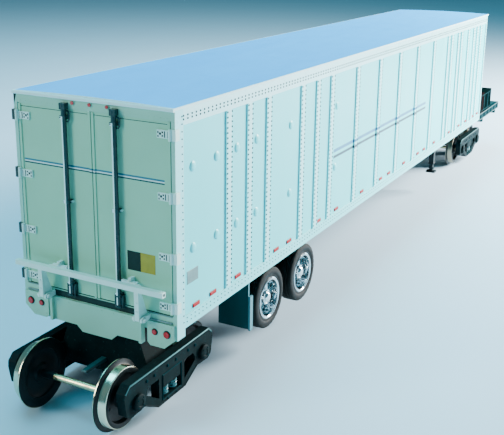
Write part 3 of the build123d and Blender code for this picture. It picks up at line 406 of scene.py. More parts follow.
# Columns: finish, words in the names of its nodes; the last row that fits counts
FINISHES = [
    ("frame_black", "floor landing subframe axle_beams arms air_ pivot kingpin tongue"),
    ("deck_teal", "deck_frame"),
    ("deck_brown", "upper_deck"),
    ("cast_black", "bogie coupler"),
    ("steel", "bogie_wheels"),
    ("brass", "bogie_axle"),
    ("rubber", "tyres"),
    ("chrome", "rims"),
    ("panel_white", "side_panel nose_wall"),
    ("rail_white", "upper_side_rails nose_corner"),
    ("sill_white", "lower_side_rails"),
    ("corner_white", "corner_posts"),
    ("roof_blue", "roof"),
    ("rear_green", "header sill apron lamp_plates"),
    ("door_green", "door_left door_right"),
    ("trim_white", "guard door_hinges"),
    ("butt_white", "hinge_butts"),
    ("rod_lit", "lock_rods"),
    ("flap_teal", "mud_flaps"),
    ("lamp_red", "rear_lamps"),
]
# Columns: width of the rounded edge in mm, words in the names of its nodes
EDGES = [
    (0.12, "apron lamp_plates guard header sill corner_posts door_hinges mud_flaps"),
    (0.25, "side_frames bolster deck coupler landing_legs subframe"),
]
# Edges that turn by more than this are rounded
ROUNDED_FROM = radians(50)
for name, node in NODES.items():
    for finish, words in FINISHES:
        if any(word in name for word in words.split()):
            node.data.materials.clear()
            node.data.materials.append(PAINT[finish])
    for width, words in EDGES:
        if any(word in name for word in words.split()):
            edge = node.modifiers.new("edge", "BEVEL")
            edge.width = width * MM
            edge.segments = 2
            edge.limit_method = "ANGLE"
            edge.angle_limit = ROUNDED_FROM
            edge.harden_normals = True


# How far a foot reaches into the face it stands on
SUNK = 0.05


class Shape:
    """Faces of one piece while it is put together, in millimetres. Every shell is closed."""

    def __init__(self):
        self.points = []
        self.faces = []
        self.marks = []

    def add(self, points, faces, mark=0):
        """Points with faces on them; mark is the finish of all, or a list of one for each face."""
        start = len(self.points)
        self.points += points
        self.faces += [[start + i for i in face] for face in faces]
        self.marks += mark if isinstance(mark, list) else [mark] * len(faces)

    def turn(self, profile, at, axis="y", steps=32, marks=None, wave=None):
        """A ring turned about an axis, from (radius, along) points, which close on themselves.

        marks gives a finish for each run of the profile, and wave changes a radius by its step.
        """
        points, faces = [], []
        count = len(profile)
        for step, (a, b) in enumerate(circle(steps, 1.0)):
            for radius, along in profile:
                reach = wave(radius, along, step) if wave else radius
                points.append(Vector(at) + on_axis(axis, reach * a, reach * b, along))
        for step in range(steps):
            faces += band(step * count, (step + 1) % steps * count, count)
        self.add(points, faces, list(marks or [0] * count) * steps)

    def cap(self, profile, at, axis="y", steps=12, mark=0):
        """A solid of revolution from (radius, along) points between two flat or pointed ends."""
        points = []
        for radius, along in profile:
            points += [Vector(at) + on_axis(axis, a, b, along) for a, b in circle(steps, radius)]
        self.stack(points, steps, mark)

    def slab(self, outline, low, high, axis="x", edge=0.0, mark=0):
        """A plate across an axis whose convex outline has its high end's corners taken off by edge."""
        rows = [(outline, low), (outline, high)]
        if edge:
            shoulder = high - edge if high > low else high + edge
            rows = [(outline, low), (outline, shoulder), (inset(outline, edge), high)]
        points = [on_axis(axis, a, b, along) for row, along in rows for a, b in row]
        self.stack(points, len(outline), mark)

    def plate(self, a, b, half_a, half_b, low, high, axis="x", edge=0.0, mark=0):
        """A rectangular slab about a middle."""
        self.slab(rectangle(a, b, half_a, half_b), low, high, axis, edge, mark)

    def tube(self, path, radius, sides=8, mark=0, closed=False):
        """A round bar along points."""
        path = [Vector(place) for place in path]
        count = len(path)
        points = []
        normal = None
        for i, place in enumerate(path):
            before = path[i - 1] if i or closed else place
            after = path[(i + 1) % count] if i < count - 1 or closed else place
            ahead = (after - before).normalized()
            if normal is None:
                normal = ahead.orthogonal().normalized()
            normal = (normal - ahead * normal.dot(ahead)).normalized()
            across = ahead.cross(normal)
            points += [place + a * normal + b * across for a, b in circle(sides, radius)]
        self.stack(points, sides, mark, closed)

    def stack(self, points, count, mark, closed=False):
        """Rings of count points, joined one to the next, and closed round or at both ends."""
        rings = len(points) // count
        faces = []
        for ring in range(rings if closed else rings - 1):
            faces += band(ring * count, (ring + 1) % rings * count, count)
        if not closed:
            faces.append(list(range(count)))
            faces.append(list(range(len(points) - count, len(points))))
        self.add(points, faces, mark)

    def rivet(self, at, axis, outward, radius=0.27, height=0.18, steps=6, mark=0):
        """A low domed head that stands on a face."""
        rows = [(radius, -SUNK), (radius, height * 0.35), (radius * 0.6, height)]
        self.cap(facing(rows, outward), at, axis, steps, mark)

    def bolt(self, at, axis, outward, radius=0.5, height=0.35, mark=0):
        """A hexagon head with a washer."""
        washer = [(radius * 1.25, -SUNK), (radius * 1.25, height * 0.2), (radius * 1.15, height * 0.3)]
        head = [(radius, 0.0), (radius, height * 0.85), (radius * 0.8, height)]
        self.cap(facing(washer, outward), at, axis, 16, mark)
        self.cap(facing(head, outward), at, axis, 6, mark)


def on_axis(axis, first, second, along):
    """A point given by its two places across an axis and its place along it."""
    places = {"x": (along, first, second), "y": (first, along, second), "z": (first, second, along)}
    return Vector(places[axis])


def circle(count, radius, start=0.0):
    """Places around a circle, in pairs."""
    turns = [start + tau * n / count for n in range(count)]
    return [(radius * cos(turn), radius * sin(turn)) for turn in turns]


def band(here, there, count):
    """Faces between two rings of count points, given the first point of each."""
    faces = []
    for i in range(count):
        j = (i + 1) % count
        faces.append([here + i, here + j, there + j, there + i])
    return faces


def facing(profile, way):
    """A profile of (radius, along) points, turned about where way is -1."""
    return [(radius, way * along) for radius, along in profile]


def inset(outline, edge):
    """A convex outline moved inward by edge."""
    moved = []
    count = len(outline)
    for i, (a, b) in enumerate(outline):
        before, after = outline[i - 1], outline[(i + 1) % count]
        first = Vector((a - before[0], b - before[1])).normalized()
        second = Vector((after[0] - a, after[1] - b)).normalized()
        bisector = (second - first).normalized()
        reach = edge / abs(bisector.cross(first))
        moved.append((a + bisector.x * reach, b + bisector.y * reach))
    return moved


def rectangle(a, b, half_a, half_b):
    """Corners of a rectangle about a middle."""
    left, right = a - half_a, a + half_a
    return [(left, b - half_b), (right, b - half_b), (right, b + half_b), (left, b + half_b)]


def make_piece(name, shape, body, finishes, replaces=(), sharp=35):
    """Put a finished shape in the scene, on its body; finishes are words in the order of its marks."""
    mesh = bpy.data.meshes.new(name)
    mesh.from_pydata([place * MM for place in shape.points], [], shape.faces)
    mesh.polygons.foreach_set("material_index", shape.marks)
    work = bmesh.new()
    work.from_mesh(mesh)
    bmesh.ops.recalc_face_normals(work, faces=work.faces)
    work.to_mesh(mesh)
    work.free()
    for finish in finishes.split():
        mesh.materials.append(PAINT[finish])
    mesh.shade_smooth()
    mesh.set_sharp_from_angle(angle=radians(sharp))
    piece = bpy.data.objects.new(name, mesh)
    bpy.context.scene.collection.objects.link(piece)
    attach(piece, body)
    if replaces:
        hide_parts(*replaces)


SIDES = (("left", 1), ("right", -1))


def spaced(low, high, pitch):
    """Places from low to high about one pitch apart."""
    count = max(1, round((high - low) / pitch))
    return [low + (high - low) * n / count for n in range(count + 1)]


POST_RIVETS = (-1.25, 1.3)
# Columns: height, from the body's ends, radius, height of a head
RAIL_RIVETS = [
    (TOP - 1.9, 4.1, 0.3, 0.18),
    (TOP - 2.85, 4.1, 0.3, 0.18),
    (SILL + 2.9, 5.0, 0.2, 0.14),
    (SILL + 1.7, 5.0, 0.2, 0.14),
]
POST_PITCH = 1.5
RAIL_PITCH = 2.1
CORNER_PITCH = 2.0


def side_rivets(side):
    """Rivets of the posts, both rails and both corners on one side."""
    shape = Shape()
    face = side * SIDE
    for post in POSTS:
        for column in POST_RIVETS:
            for up in spaced(SILL + 4.5, TOP - 5.0, POST_PITCH):
                shape.rivet((post + column, face, up), "y", side, 0.3)
    for up, margin, radius, height in RAIL_RIVETS:
        for x in spaced(REAR + margin, NOSE - margin, RAIL_PITCH):
            shape.rivet((x, face, up), "y", side, radius, height)
    for up in spaced(SILL + 2, TOP - 2, CORNER_PITCH):
        for x in (REAR + 3.3, NOSE - 3.2):
            shape.rivet((x, face, up), "y", side, 0.22, 0.15)
    return shape


# Dimples: ahead of the rear face, above the sill, and (radius, out) of one
DIMPLES = [9.0, 21.8, 33.6, 46.1, 70.1, 109.3]
DIMPLE_HEIGHTS = (45.3, 22.1)
DIMPLE = [(1.5, -SUNK), (1.5, 0.06), (1.3, 0.22), (0.9, 0.36), (0.4, 0.42), (0.1, 0.43)]


def side_dimples(side):
    """Round pressed bosses on one side sheet."""
    shape = Shape()
    for ahead in DIMPLES:
        for up in DIMPLE_HEIGHTS:
            at = (REAR + ahead, side * SHEET, SILL + up)
            shape.cap(facing(DIMPLE, side), at, "y", 24)
    return shape


# Reflectors, ahead of the rear face
REFLECTORS = [10.3, 19.6, 34.5, 60.8, 70.5, 95.5, 112.1, 139.1, 161.5, 172.0, 192.6, 213.5, 223.5,
              240.3, 268.0, 287.5, 302.0, 317.4, 328.3]
REFLECTOR_UP = 4.9
REFLECTOR_HALF_L = 1.8
REFLECTOR_HALF_H = 0.6


def side_reflectors(side):
    """Small red reflectors above the lower rail."""
    shape = Shape()
    for ahead in REFLECTORS:
        shape.plate(REAR + ahead, SILL + REFLECTOR_UP, REFLECTOR_HALF_L, REFLECTOR_HALF_H,
                    side * (SHEET - SUNK), side * (SHEET + 0.3), "y", 0.12)
    return shape


# Side rivets are dark as painted shade
for word, side in SIDES:
    make_piece(f"side_rivets_{word}", side_rivets(side), "van", "rivet_blue")
    make_piece(f"side_dimples_{word}", side_dimples(side), "van", "panel_white")
    make_piece(f"side_reflectors_{word}", side_reflectors(side), "van", "reflector_red")


STRAP_OUTER = SIDE - 2.3
STRAP_FACE = REAR - 0.2
# Cut-outs of a strap. Columns: inward from its end, above its middle, half width, half height
STRAP_CUTS = [
    (0.75, 0.0, 0.15, 0.85),
    (1.45, 0.5, 0.22, 0.22),
    (1.45, -0.45, 0.22, 0.22),
    (2.15, 0.1, 0.3, 0.3),
    (2.8, 0.45, 0.18, 0.3),
    (2.8, -0.6, 0.18, 0.25),
]


def hinge_details():
    """Dark cut-outs and rivets of the hinge straps, and a plate with a slot beyond each strap's end."""
    shape = Shape()
    for side in (1, -1):
        for up in HINGE_HEIGHTS:
            for inward, rise, half_w, half_h in STRAP_CUTS:
                shape.plate(side * (STRAP_OUTER - inward), up + rise, half_w, half_h,
                            STRAP_FACE + SUNK, STRAP_FACE - 0.06, "x", 0.03, 1)
            for rise in (-0.75, 0.75):
                head = (STRAP_FACE, side * (STRAP_OUTER - 0.3), up + rise)
                shape.rivet(head, "x", -1, 0.18, 0.14, 8)
            shape.plate(side * (STRAP_OUTER + 0.75), up, 0.85, 1.1, REAR + SUNK, REAR - 0.3, "x", 0.06)
            shape.plate(side * (STRAP_OUTER + 0.2), up, 0.07, 0.9, REAR, REAR - 0.33, "x", 0.01, 1)
    return shape


ROD_X = REAR - 0.9
# Loop at a rod's upper end: (across from the rod, below the top)
ROD_LOOP = [(-0.6, 3.3), (-1.3, 3.4), (-1.55, 3.8), (-1.55, 5.8), (-1.3, 6.3), (-0.6, 6.4)]
ROD_CAP = [(0.85, -0.4), (0.85, 0.3), (0.6, 0.5)]
# Handle's grip: (out from the rod, across from it, above the sill)
GRIP = [(0.35, 4.4, 12.4), (0.5, 5.6, 12.5), (0.4, 7.6, 12.1)]


def rod_details():
    """Keepers, loops, screws, top caps and handle grips of the lock rods."""
    shape = Shape()
    for side in (1, -1):
        y = side * ROD_Y
        loop = [(ROD_X + 0.3, y + across, TOP - down) for across, down in ROD_LOOP]
        shape.tube(loop, 0.22)
        shape.cap(ROD_CAP, (ROD_X, y, TOP - 1.9), "z", 16)
        for step in (-1.15, 1.15):
            shape.rivet((DOOR_FACE, y + step, SILL + 32.6), "x", -1, 0.34, 0.9, 10, 1)
            shape.plate(y + step, SILL + 6.1, 0.28, 1.9, REAR + 0.25, ROD_X - 0.3, "x", 0.1)
        for up in (SILL + 4.6, SILL + 7.6):
            shape.plate(y, up, 0.95, 0.25, REAR + 0.1, ROD_X - 0.85, "x", 0.1)
        for up in (SILL + 8.0, SILL + 56.6):
            for step in (-0.65, 0.65):
                shape.rivet((ROD_X - 0.74, y + step, up), "x", -1, 0.2, 0.13, 8)
        grip = [(ROD_X - out, y + side * across, SILL + up) for out, across, up in GRIP]
        shape.tube(grip, 0.42, 8, 1)
        shape.bolt((ROD_X - 0.55, y + side * 4.1, SILL + 13.2), "x", -1, 0.35, 0.3, 1)
    return shape


# Tail lamps: (inward from the plate's outer edge, radius)
TAIL_LAMPS = [(2.3, 0.9), (6.3, 0.7)]
TAIL_LAMP_DROP = 0.6
MARKER_LAMPS = (-5.8, 0, 5.8)
MARKER_RING = [(0.5, 0.02), (0.74, 0.02), (0.7, -0.2), (0.5, -0.2)]


def lamp_bezels():
    """Rings around the tail and marker lamps."""
    shape = Shape()
    for side in (1, -1):
        for inward, radius in TAIL_LAMPS:
            at = (LAMP_FACE, side * (SIDE - LAMP_PLATE_INSET - inward), SILL - TAIL_LAMP_DROP)
            ring = [(radius, 0.02), (radius + 0.28, 0.02), (radius + 0.24, -0.22), (radius + 0.08, -0.3),
                    (radius, -0.2)]
            shape.turn(ring, at, "x", 24)
    for y in MARKER_LAMPS:
        shape.turn(MARKER_RING, (REAR, y, TOP - HEADER_H / 2 + 0.3), "x", 16, [1, 1, 1, 1])
    return shape


def rear_seals():
    """Dark seals around the doors, the light strip beside their seam, lines of the rear frame, and patches
    of painted shadow.
    """
    shape = Shape()
    half = SIDE - CORNER_POST_W
    foot, top = SILL + SILL_TOP, TOP - HEADER_H
    middle, half_h = (foot + top) / 2, (top - foot) / 2 - 0.05
    inner, outer = REAR + 1.4, DOOR_FACE - 0.03
    # Columns: y, height, half width, half height, inner face, outer face, edge, finish
    rows = [
        (half - 0.18, middle, 0.19, half_h, inner, outer, 0.05, 0),
        (0.18 - half, middle, 0.19, half_h, inner, outer, 0.05, 0),
        (0.0, middle, 0.19, half_h, inner, outer, 0.05, 0),
        (0.0, foot + 0.15, half - 0.35, 0.16, inner, outer, 0.05, 0),
        (0.0, top - 0.15, half - 0.35, 0.14, inner, REAR + 0.2, 0.05, 1),
        (0.0, TOP - 3.8, half - 0.5, 0.08, DOOR_FACE + SUNK, outer, 0.01, 0),
        (0.65, middle, 0.28, half_h, DOOR_FACE + SUNK, DOOR_FACE - 0.22, 0.08, 2),
        # Dark slab across the slot under the doors: painted shadow
        (0.0, SILL + 3.45, 15.5, 0.95, REAR + SUNK, REAR - 0.05, 0.02, 0),
    ]
    for y, up, half_w, tall, near, far, edge, mark in rows:
        shape.plate(y, up, half_w, tall, near, far, "x", edge, mark)
    # Dark notch at the left corner post's top: painted shade
    notch = [(25.9, TOP - 0.4), (26.9, TOP - 0.4), (26.9, TOP - 3.6)]
    shape.slab(notch, REAR + SUNK, REAR - 0.04)
    return shape


# Columns: middle, height, half width, half height, inner face, outer face, axis, edge, finish
BLANK_PLATES = [
    (-13.0, SILL + 18.5, 2.2, 2.8, DOOR_FACE + SUNK, DOOR_FACE - 0.08, "x", 0.03, 1),
    (-17.6, SILL + 18.5, 2.4, 2.8, DOOR_FACE + SUNK, DOOR_FACE - 0.08, "x", 0.03, 0),
    (REAR + 8.6, SILL + 14.1, 2.9, 1.9, SUNK - SHEET, -SHEET - 0.1, "y", 0.04, 2),
]


def rear_plates():
    """Blank plates: two-tone on the right door, and a small one on the right side near the rear."""
    shape = Shape()
    for row in BLANK_PLATES:
        shape.plate(*row)
    return shape


# Screws of a lamp plate: (from the middle line, above the sill)
PLATE_SCREWS = [(18.6, -3.8), (22.2, -3.8), (18.6, 1.5), (25.6, 1.5)]


def rear_fasteners():
    """Screws of the apron and the lamp plates, and rivets of the header."""
    shape = Shape()
    for side in (1, -1):
        for y in spaced(2.0, 14.0, 4.0):
            shape.rivet((LAMP_FACE, side * y, SILL + 1.6), "x", -1, 0.22, 0.14, 8)
        for y, up in PLATE_SCREWS:
            shape.rivet((LAMP_FACE, side * y, SILL + up), "x", -1, 0.2, 0.12, 8)
        for y in spaced(9.0, 24.6, 1.9):
            shape.rivet((REAR, side * y, TOP - 2.2), "x", -1, 0.15, 0.1, 6)
    return shape


# Ledges. Columns: half height, above the sill, out, edge
LEDGES = [(0.18, 2.75, 0.5, 0.08), (0.12, 4.55, 0.25, 0.05)]
LEDGE_Y = 21.6
LEDGE_HALF_W = 3.9


def door_shelf():
    """Ledges over the lamp plates, with the step line of the recess; their dark grey is painted shade of
    the recess.
    """
    shape = Shape()
    for side in (1, -1):
        for half_h, up, out, edge in LEDGES:
            shape.plate(side * LEDGE_Y, SILL + up, LEDGE_HALF_W, half_h, REAR + 0.1, REAR - out, "x", edge)
    return shape


# Columns: piece, shape, slot, finishes
REAR_PIECES = [
    ("hinge_details", hinge_details(), "rod_metal", "trim_white seal_black"),
    ("lock_rod_details", rod_details(), "rod_metal", "rod_teal trim_white"),
    ("lamp_bezels", lamp_bezels(), "frame_black", "seal_black rear_green"),
    ("rear_seals", rear_seals(), "frame_black", "seal_black rear_green trim_white"),
    ("rear_plates", rear_plates(), "van_white", "plate_ochre seal_black plate_grey"),
    ("rear_fasteners", rear_fasteners(), "van_white", "rear_green"),
    # Dark grey ledges of door_shelf: painted shade over the lamp plates
    ("door_shelf", door_shelf(), "van_white", "plate_grey"),
]
for name, shape, slot, finishes in REAR_PIECES:
    make_piece(name, shape, "van", finishes)


def guard_details():
    """Bolts at the guard's pivots, rivets of its arms and end caps on its bar."""
    shape = Shape()
    low, high = node_box("underride_guard")
    pivot_x, pivot_z = REAR - GUARD_PIVOT_BACK, SILL + GUARD_PIVOT_UP
    for side in (1, -1):
        arm_y = side * GUARD_ARM_Y
        for way in (1, -1):
            head = facing([(0.62, 0.0), (0.62, 0.3), (0.4, 0.45)], way)
            shape.cap(head, (pivot_x, arm_y + way * 1.7, pivot_z), "y", 12)
        for up in (2.6, 5.2):
            shape.rivet((pivot_x - 1.15 - 0.02 * up, arm_y, pivot_z + up), "x", -1, 0.24, 0.16, 8)
        end = side * high.y
        shape.plate(low.x + 0.75, high.z - 0.75, 0.5, 0.5, end - side * 0.3, end, "y", 0.1)
    return shape


make_piece("guard_details", guard_details(), "guard", "trim_white")

# Nose wall: columns of rivets, and the hose panel with (radius, out) of its sockets
NOSE_COLUMNS = (-21.9, -11.0, 0.0, 11.0, 21.9)
NOSE_PITCH = 1.9
PANEL_Z = SILL + 20.5
PANEL_OUT = 0.7
HOSE_SOCKET = [(0.9, 0.0), (0.9, 0.5), (0.6, 0.9), (0.35, 0.95)]
PLUG_SOCKET = [(1.1, 0.0), (1.1, 0.4), (0.85, 0.6)]


def nose_details():
    """Rivets, blank hose panel and small lamps on the front wall."""
    shape = Shape()
    for y in NOSE_COLUMNS:
        for up in spaced(SILL + 17.0, TOP - 1.6, NOSE_PITCH):
            shape.rivet((NOSE, y, up), "x", 1, 0.24, 0.15)
    for up in (TOP - 1.4, TOP - 2.8):
        for y in spaced(-20.8, 20.8, NOSE_PITCH):
            shape.rivet((NOSE, y, up), "x", 1, 0.24, 0.15)
    shape.plate(0, PANEL_Z, 5.2, 2.4, NOSE - SUNK, NOSE + PANEL_OUT, "x", 0.25, 1)
    for y in (-3.4, 3.4):
        shape.cap(HOSE_SOCKET, (NOSE + PANEL_OUT, y, PANEL_Z), "x", 16, 2)
    shape.cap(PLUG_SOCKET, (NOSE + PANEL_OUT, 0, PANEL_Z), "x", 20, 2)
    for y in (-20.0, 20.0):
        shape.plate(y, TOP - 5.2, 1.2, 0.6, NOSE - SUNK, NOSE + 0.45, "x", 0.2, 2)
    return shape


# Nose rivets use the same painted-shade dark
make_piece("nose_details", nose_details(), "van", "rivet_blue rail_white plate_grey")

SEAM_PITCH = 24.0
SEAM_R = 0.11
DRIP_R = 0.07
CROWN = 0.5


def roof_seams():
    """Low seams across the roof sheet and the drip edges along it."""
    shape = Shape()
    crown_top = node_box("roof")[1].z
    half = SIDE - 0.5
    for x in spaced(REAR + SEAM_PITCH, NOSE - SEAM_PITCH, SEAM_PITCH):
        path = []
        for n in range(-6, 7):
            y = half * n / 6
            path.append((x, y, crown_top - CROWN * (y / SIDE) ** 2 - 0.12))
        shape.tube(path, SEAM_R, 6)
    for side in (1, -1):
        places = (REAR + 0.3, (REAR + NOSE) / 2, NOSE - 0.4)
        shape.tube([(x, side * (SIDE - 0.25), TOP + 0.52) for x in places], DRIP_R, 6)
    return shape


make_piece("roof_seams", roof_seams(), "van", "roof_blue")

# Flanged wheel: (radius, ahead of its back face, finish of the run that starts here)
WHEEL = [
    (0.8, 0.05, 0), (2.6, 0.05, 0), (2.72, 0.3, 0), (3.0, 0.86, 0), (4.8, 0.98, 0), (6.5, 0.82, 0),
    (7.1, 0.5, 0), (7.25, 0.06, 0), (7.5, 0.0, 0), (9.9, 0.0, 0), (10.15, 0.08, 1), (10.28, 0.22, 1),
    (10.28, 0.42, 0), (10.15, 0.6, 0), (9.7, 0.76, 0), (9.15, 0.92, 0), (8.92, 1.06, 1), (8.8, 1.3, 1),
    (8.78, 3.1, 1), (8.7, 3.28, 1), (8.5, 3.38, 0), (7.5, 3.4, 0), (7.2, 3.3, 0), (7.05, 2.9, 0),
    (6.7, 2.1, 0), (5.6, 1.74, 0), (4.2, 1.72, 0), (3.0, 1.95, 0), (2.72, 2.5, 0), (2.65, 3.2, 0),
    (2.45, 3.38, 0), (0.8, 3.38, 0),
]
WHEEL_MARKS = [mark for _, _, mark in WHEEL]
# Bosses on a wheel's plate: their circle, and the plate's face ahead of the wheel's back
BOSS = [(0.55, -SUNK), (0.55, 0.12), (0.35, 0.2)]
BOSS_CIRCLE = 4.9
PLATE_FACE = 1.68
# Sleeve of the axle: brass, and black and thicker for a length beside the left wheel; that black is
# painted shadow of the wheel
SLEEVE_R = 1.0
BLACK_SLEEVE_R = 1.15
BLACK_SLEEVE_L = 4.4


def flanged_pair(end, place):
    """Both wheels of one axle, and the sleeve between them."""
    shape = Shape()
    axle = node_middle(f"{end}_bogie_axle_{place}")
    middle = (axle.x, 0, axle.z)
    half = BACK_TO_BACK / 2
    for side in (1, -1):
        profile = [(radius, side * (half + along)) for radius, along, _ in WHEEL]
        shape.turn(profile, middle, "y", 96, WHEEL_MARKS)
        for x, z in circle(4, BOSS_CIRCLE, 0.4):
            at = (axle.x + x, side * (half + PLATE_FACE), axle.z + z)
            shape.cap(facing(BOSS, side), at, "y", 12)
    meet = half - BLACK_SLEEVE_L
    shape.cap([(SLEEVE_R, -half), (SLEEVE_R, meet)], middle, "y", 24, 2)
    # Black sleeve beside the left wheel: painted shadow
    shape.cap([(SLEEVE_R, meet), (BLACK_SLEEVE_R, meet), (BLACK_SLEEVE_R, half)], middle, "y", 24)
    return shape


for end in ("rear", "front"):
    for place in ("outer", "inner"):
        # Bright steel only on the rear bogie's outer wheels; the others get its darker copy as painted
        # shade
        tread = "steel" if end == "rear" and place == "outer" else "steel_dull"
        body = f"{end}_bogie_wheelset_{place}"
        make_piece(f"{end}_bogie_{place}_flanged_wheels", flanged_pair(end, place), body,
                   f"wheel_black {tread} brass", [f"{end}_bogie_wheels_{place}"], 30)


# Side frames: outer face, and lines on it as (ahead of the pivot, height)
FRAME_OUT = BACK_TO_BACK / 2 + WHEEL_W + FRAME_GAP + FRAME_T
AXLE_AHEAD = 17.0
AXLE_Z = 10.3
# The upper edge is in light metal: a painted highlight along each side frame's top
UPPER_EDGE = [(-22.4, 14.8), (-20.5, 16.45), (20.5, 16.45), (22.4, 14.8)]
LOWER_EDGE = [(-13.6, 7.3), (-7.0, 3.75), (7.0, 3.75), (13.6, 7.3)]
WINDOW_EDGE = [(-4.9, 4.8), (4.9, 4.8), (4.9, 12.5), (-4.9, 12.5)]
# Columns: line, into the frame, radius, finish, closed
FRAME_LINES = [
    (UPPER_EDGE, 0.12, 0.3, 1, False),
    (LOWER_EDGE, 0.05, 0.26, 0, False),
    (WINDOW_EDGE, 0.0, 0.26, 2, True),
]
JOURNAL_COVER = [(2.35, 0.0), (2.35, 0.12), (2.05, 0.3), (1.2, 0.34), (1.05, 0.2), (0.1, 0.2)]
COVER_OUT = 0.85
COVER_BOLTS_R = 1.65
# Columns: ahead of the pivot, height, radius, height of the head
FRAME_BOLTS = [(ahead, 14.4, 0.42, 0.35) for ahead in (-12.6, -8.8, 8.8, 12.6)]
for ahead in (-2.2, 2.2):
    FRAME_BOLTS += [(ahead, 14.4, 0.42, 0.35), (ahead, 4.15, 0.3, 0.3)]


def frame_details(end):
    """Raised edges, journal covers and bolts on both side frames; the upper edges are light metal, a
    painted highlight.
    """
    shape = Shape()
    pivot = node_middle(f"{end}_bogie_bolster").x
    for side in (1, -1):
        face = side * FRAME_OUT
        for line, sunk, radius, mark, closed in FRAME_LINES:
            path = [(pivot + ahead, face - side * sunk, z) for ahead, z in line]
            shape.tube(path, radius, 8, mark, closed)
        for ahead in (-AXLE_AHEAD, AXLE_AHEAD):
            x, y = pivot + ahead, face + side * COVER_OUT
            shape.cap(facing(JOURNAL_COVER, side), (x, y, AXLE_Z), "y", 24)
            for across, up in circle(4, COVER_BOLTS_R, tau / 8):
                shape.rivet((x + across, y + side * 0.28, AXLE_Z + up), "y", side, 0.26, 0.2, 6, 2)
        for ahead, z, radius, height in FRAME_BOLTS:
            shape.bolt((pivot + ahead, face, z), "y", side, radius, height, 2)
    return shape


# Columns: radius, wire's radius, turns, way round
COILS = [(1.04, 0.24, 3.6, 1), (0.5, 0.16, 5.0, -1)]
COIL_AHEAD = 2.3
COIL_STEPS = 16
COIL_SEAT_R = 1.28
COIL_SEAT_T = 0.16


def coil_springs(end):
    """Coil springs with a core coil and seats, in the side frames' windows."""
    shape = Shape()
    low, high = node_box(f"{end}_bogie_springs")
    height = high.z - low.z
    seat = [(COIL_SEAT_R, 0.0), (COIL_SEAT_R, COIL_SEAT_T)]
    for side in (1, -1):
        for ahead in (-COIL_AHEAD, COIL_AHEAD):
            middle = Vector(((low.x + high.x) / 2 + ahead, side * (high.y - SPRING_R), low.z))
            for radius, wire, turns, way in COILS:
                path = []
                steps = int(turns * COIL_STEPS)
                for n in range(steps + 1):
                    angle = way * tau * turns * n / steps
                    up = wire + (height - 2 * wire) * n / steps
                    path.append(middle + Vector((radius * cos(angle), radius * sin(angle), up)))
                shape.tube(path, wire, 7)
            for up in (0.0, height - COIL_SEAT_T):
                shape.cap(seat, middle + Vector((0, 0, up)), "z", 20, 1)
    return shape


BOLSTER_TOP = 12.2
# Brake lever bar: (ahead of the pivot, height)
LEVER = [(4.6, 12.1), (14.2, 12.4), (14.6, 12.8), (14.2, 13.2), (4.6, 13.3)]
LEVER_HALF_W = 0.9


def bogie_rigging(end):
    """Brake lever bars over the axles and bolts at the bolster's ends."""
    shape = Shape()
    pivot = node_middle(f"{end}_bogie_bolster").x
    for way in (1, -1):
        outline = [(pivot + way * ahead, z) for ahead, z in LEVER[::way]]
        shape.slab(outline, -LEVER_HALF_W, LEVER_HALF_W, "y", 0.2)
    for side in (1, -1):
        for ahead in (-3.0, 3.0):
            shape.bolt((pivot + ahead, side * 18.4, BOLSTER_TOP), "z", 1, 0.5, 0.4)
    return shape


for end in ("rear", "front"):
    body = f"{end}_bogie"
    make_piece(f"{end}_frame_details", frame_details(end), body,
               "cast_black cast_edge deck_teal")
    make_piece(f"{end}_coil_springs", coil_springs(end), body,
               "strip_teal cast_black", [f"{end}_bogie_springs"], 50)
    make_piece(f"{end}_brake_rigging", bogie_rigging(end), body, "lever_teal")


# Half of a tyre: (radius, from its middle, finish of the run that starts here)
TYRE_WALL = [(6.9, 1.9, 0), (7.0, 2.25, 0), (7.5, 2.5, 0), (7.9, 2.46, 0), (8.1, 2.6, 0),
             (8.9, 2.68, 0), (9.5, 2.6, 0)]
TYRE_SHOULDER = [(9.9, 2.5, 1), (10.2, 2.35, 1)]
TYRE_RIBS = [(10.36, 2.1, 1), (10.38, 1.5, 1), (10.05, 1.42, 1), (10.05, 1.18, 1), (10.4, 1.1, 1),
             (10.4, 0.5, 1), (10.05, 0.42, 1), (10.05, 0.18, 1), (10.4, 0.1, 1)]
TYRE_HALF = TYRE_WALL + TYRE_SHOULDER + TYRE_RIBS
TYRE = TYRE_HALF + [(radius, -along, mark) for radius, along, mark in reversed(TYRE_HALF)]
TYRE_MARKS = [mark for _, _, mark in TYRE]
SHOULDER_PLACES = [(radius, along) for radius, along, _ in TYRE_SHOULDER]
NOTCH_DEPTH = 0.16


def notch(radius, along, step):
    """Radius of a tyre's point, less at every fourth step of its shoulders."""
    cut = (radius, abs(along)) in SHOULDER_PLACES and step % 4 == 0
    return radius - NOTCH_DEPTH if cut else radius


def road_tyres(end, word):
    """Inner and outer tyre of one axle end, with ribs and shoulder notches."""
    shape = Shape()
    low, high = node_box(f"road_tyres_{end}_{word}")
    x, z = (low.x + high.x) / 2, (low.z + high.z) / 2
    profile = [(radius, along) for radius, along, _ in TYRE]
    for y in (low.y + TYRE_W / 2, high.y - TYRE_W / 2):
        shape.turn(profile, (x, y, z), "y", 120, TYRE_MARKS, notch)
    return shape


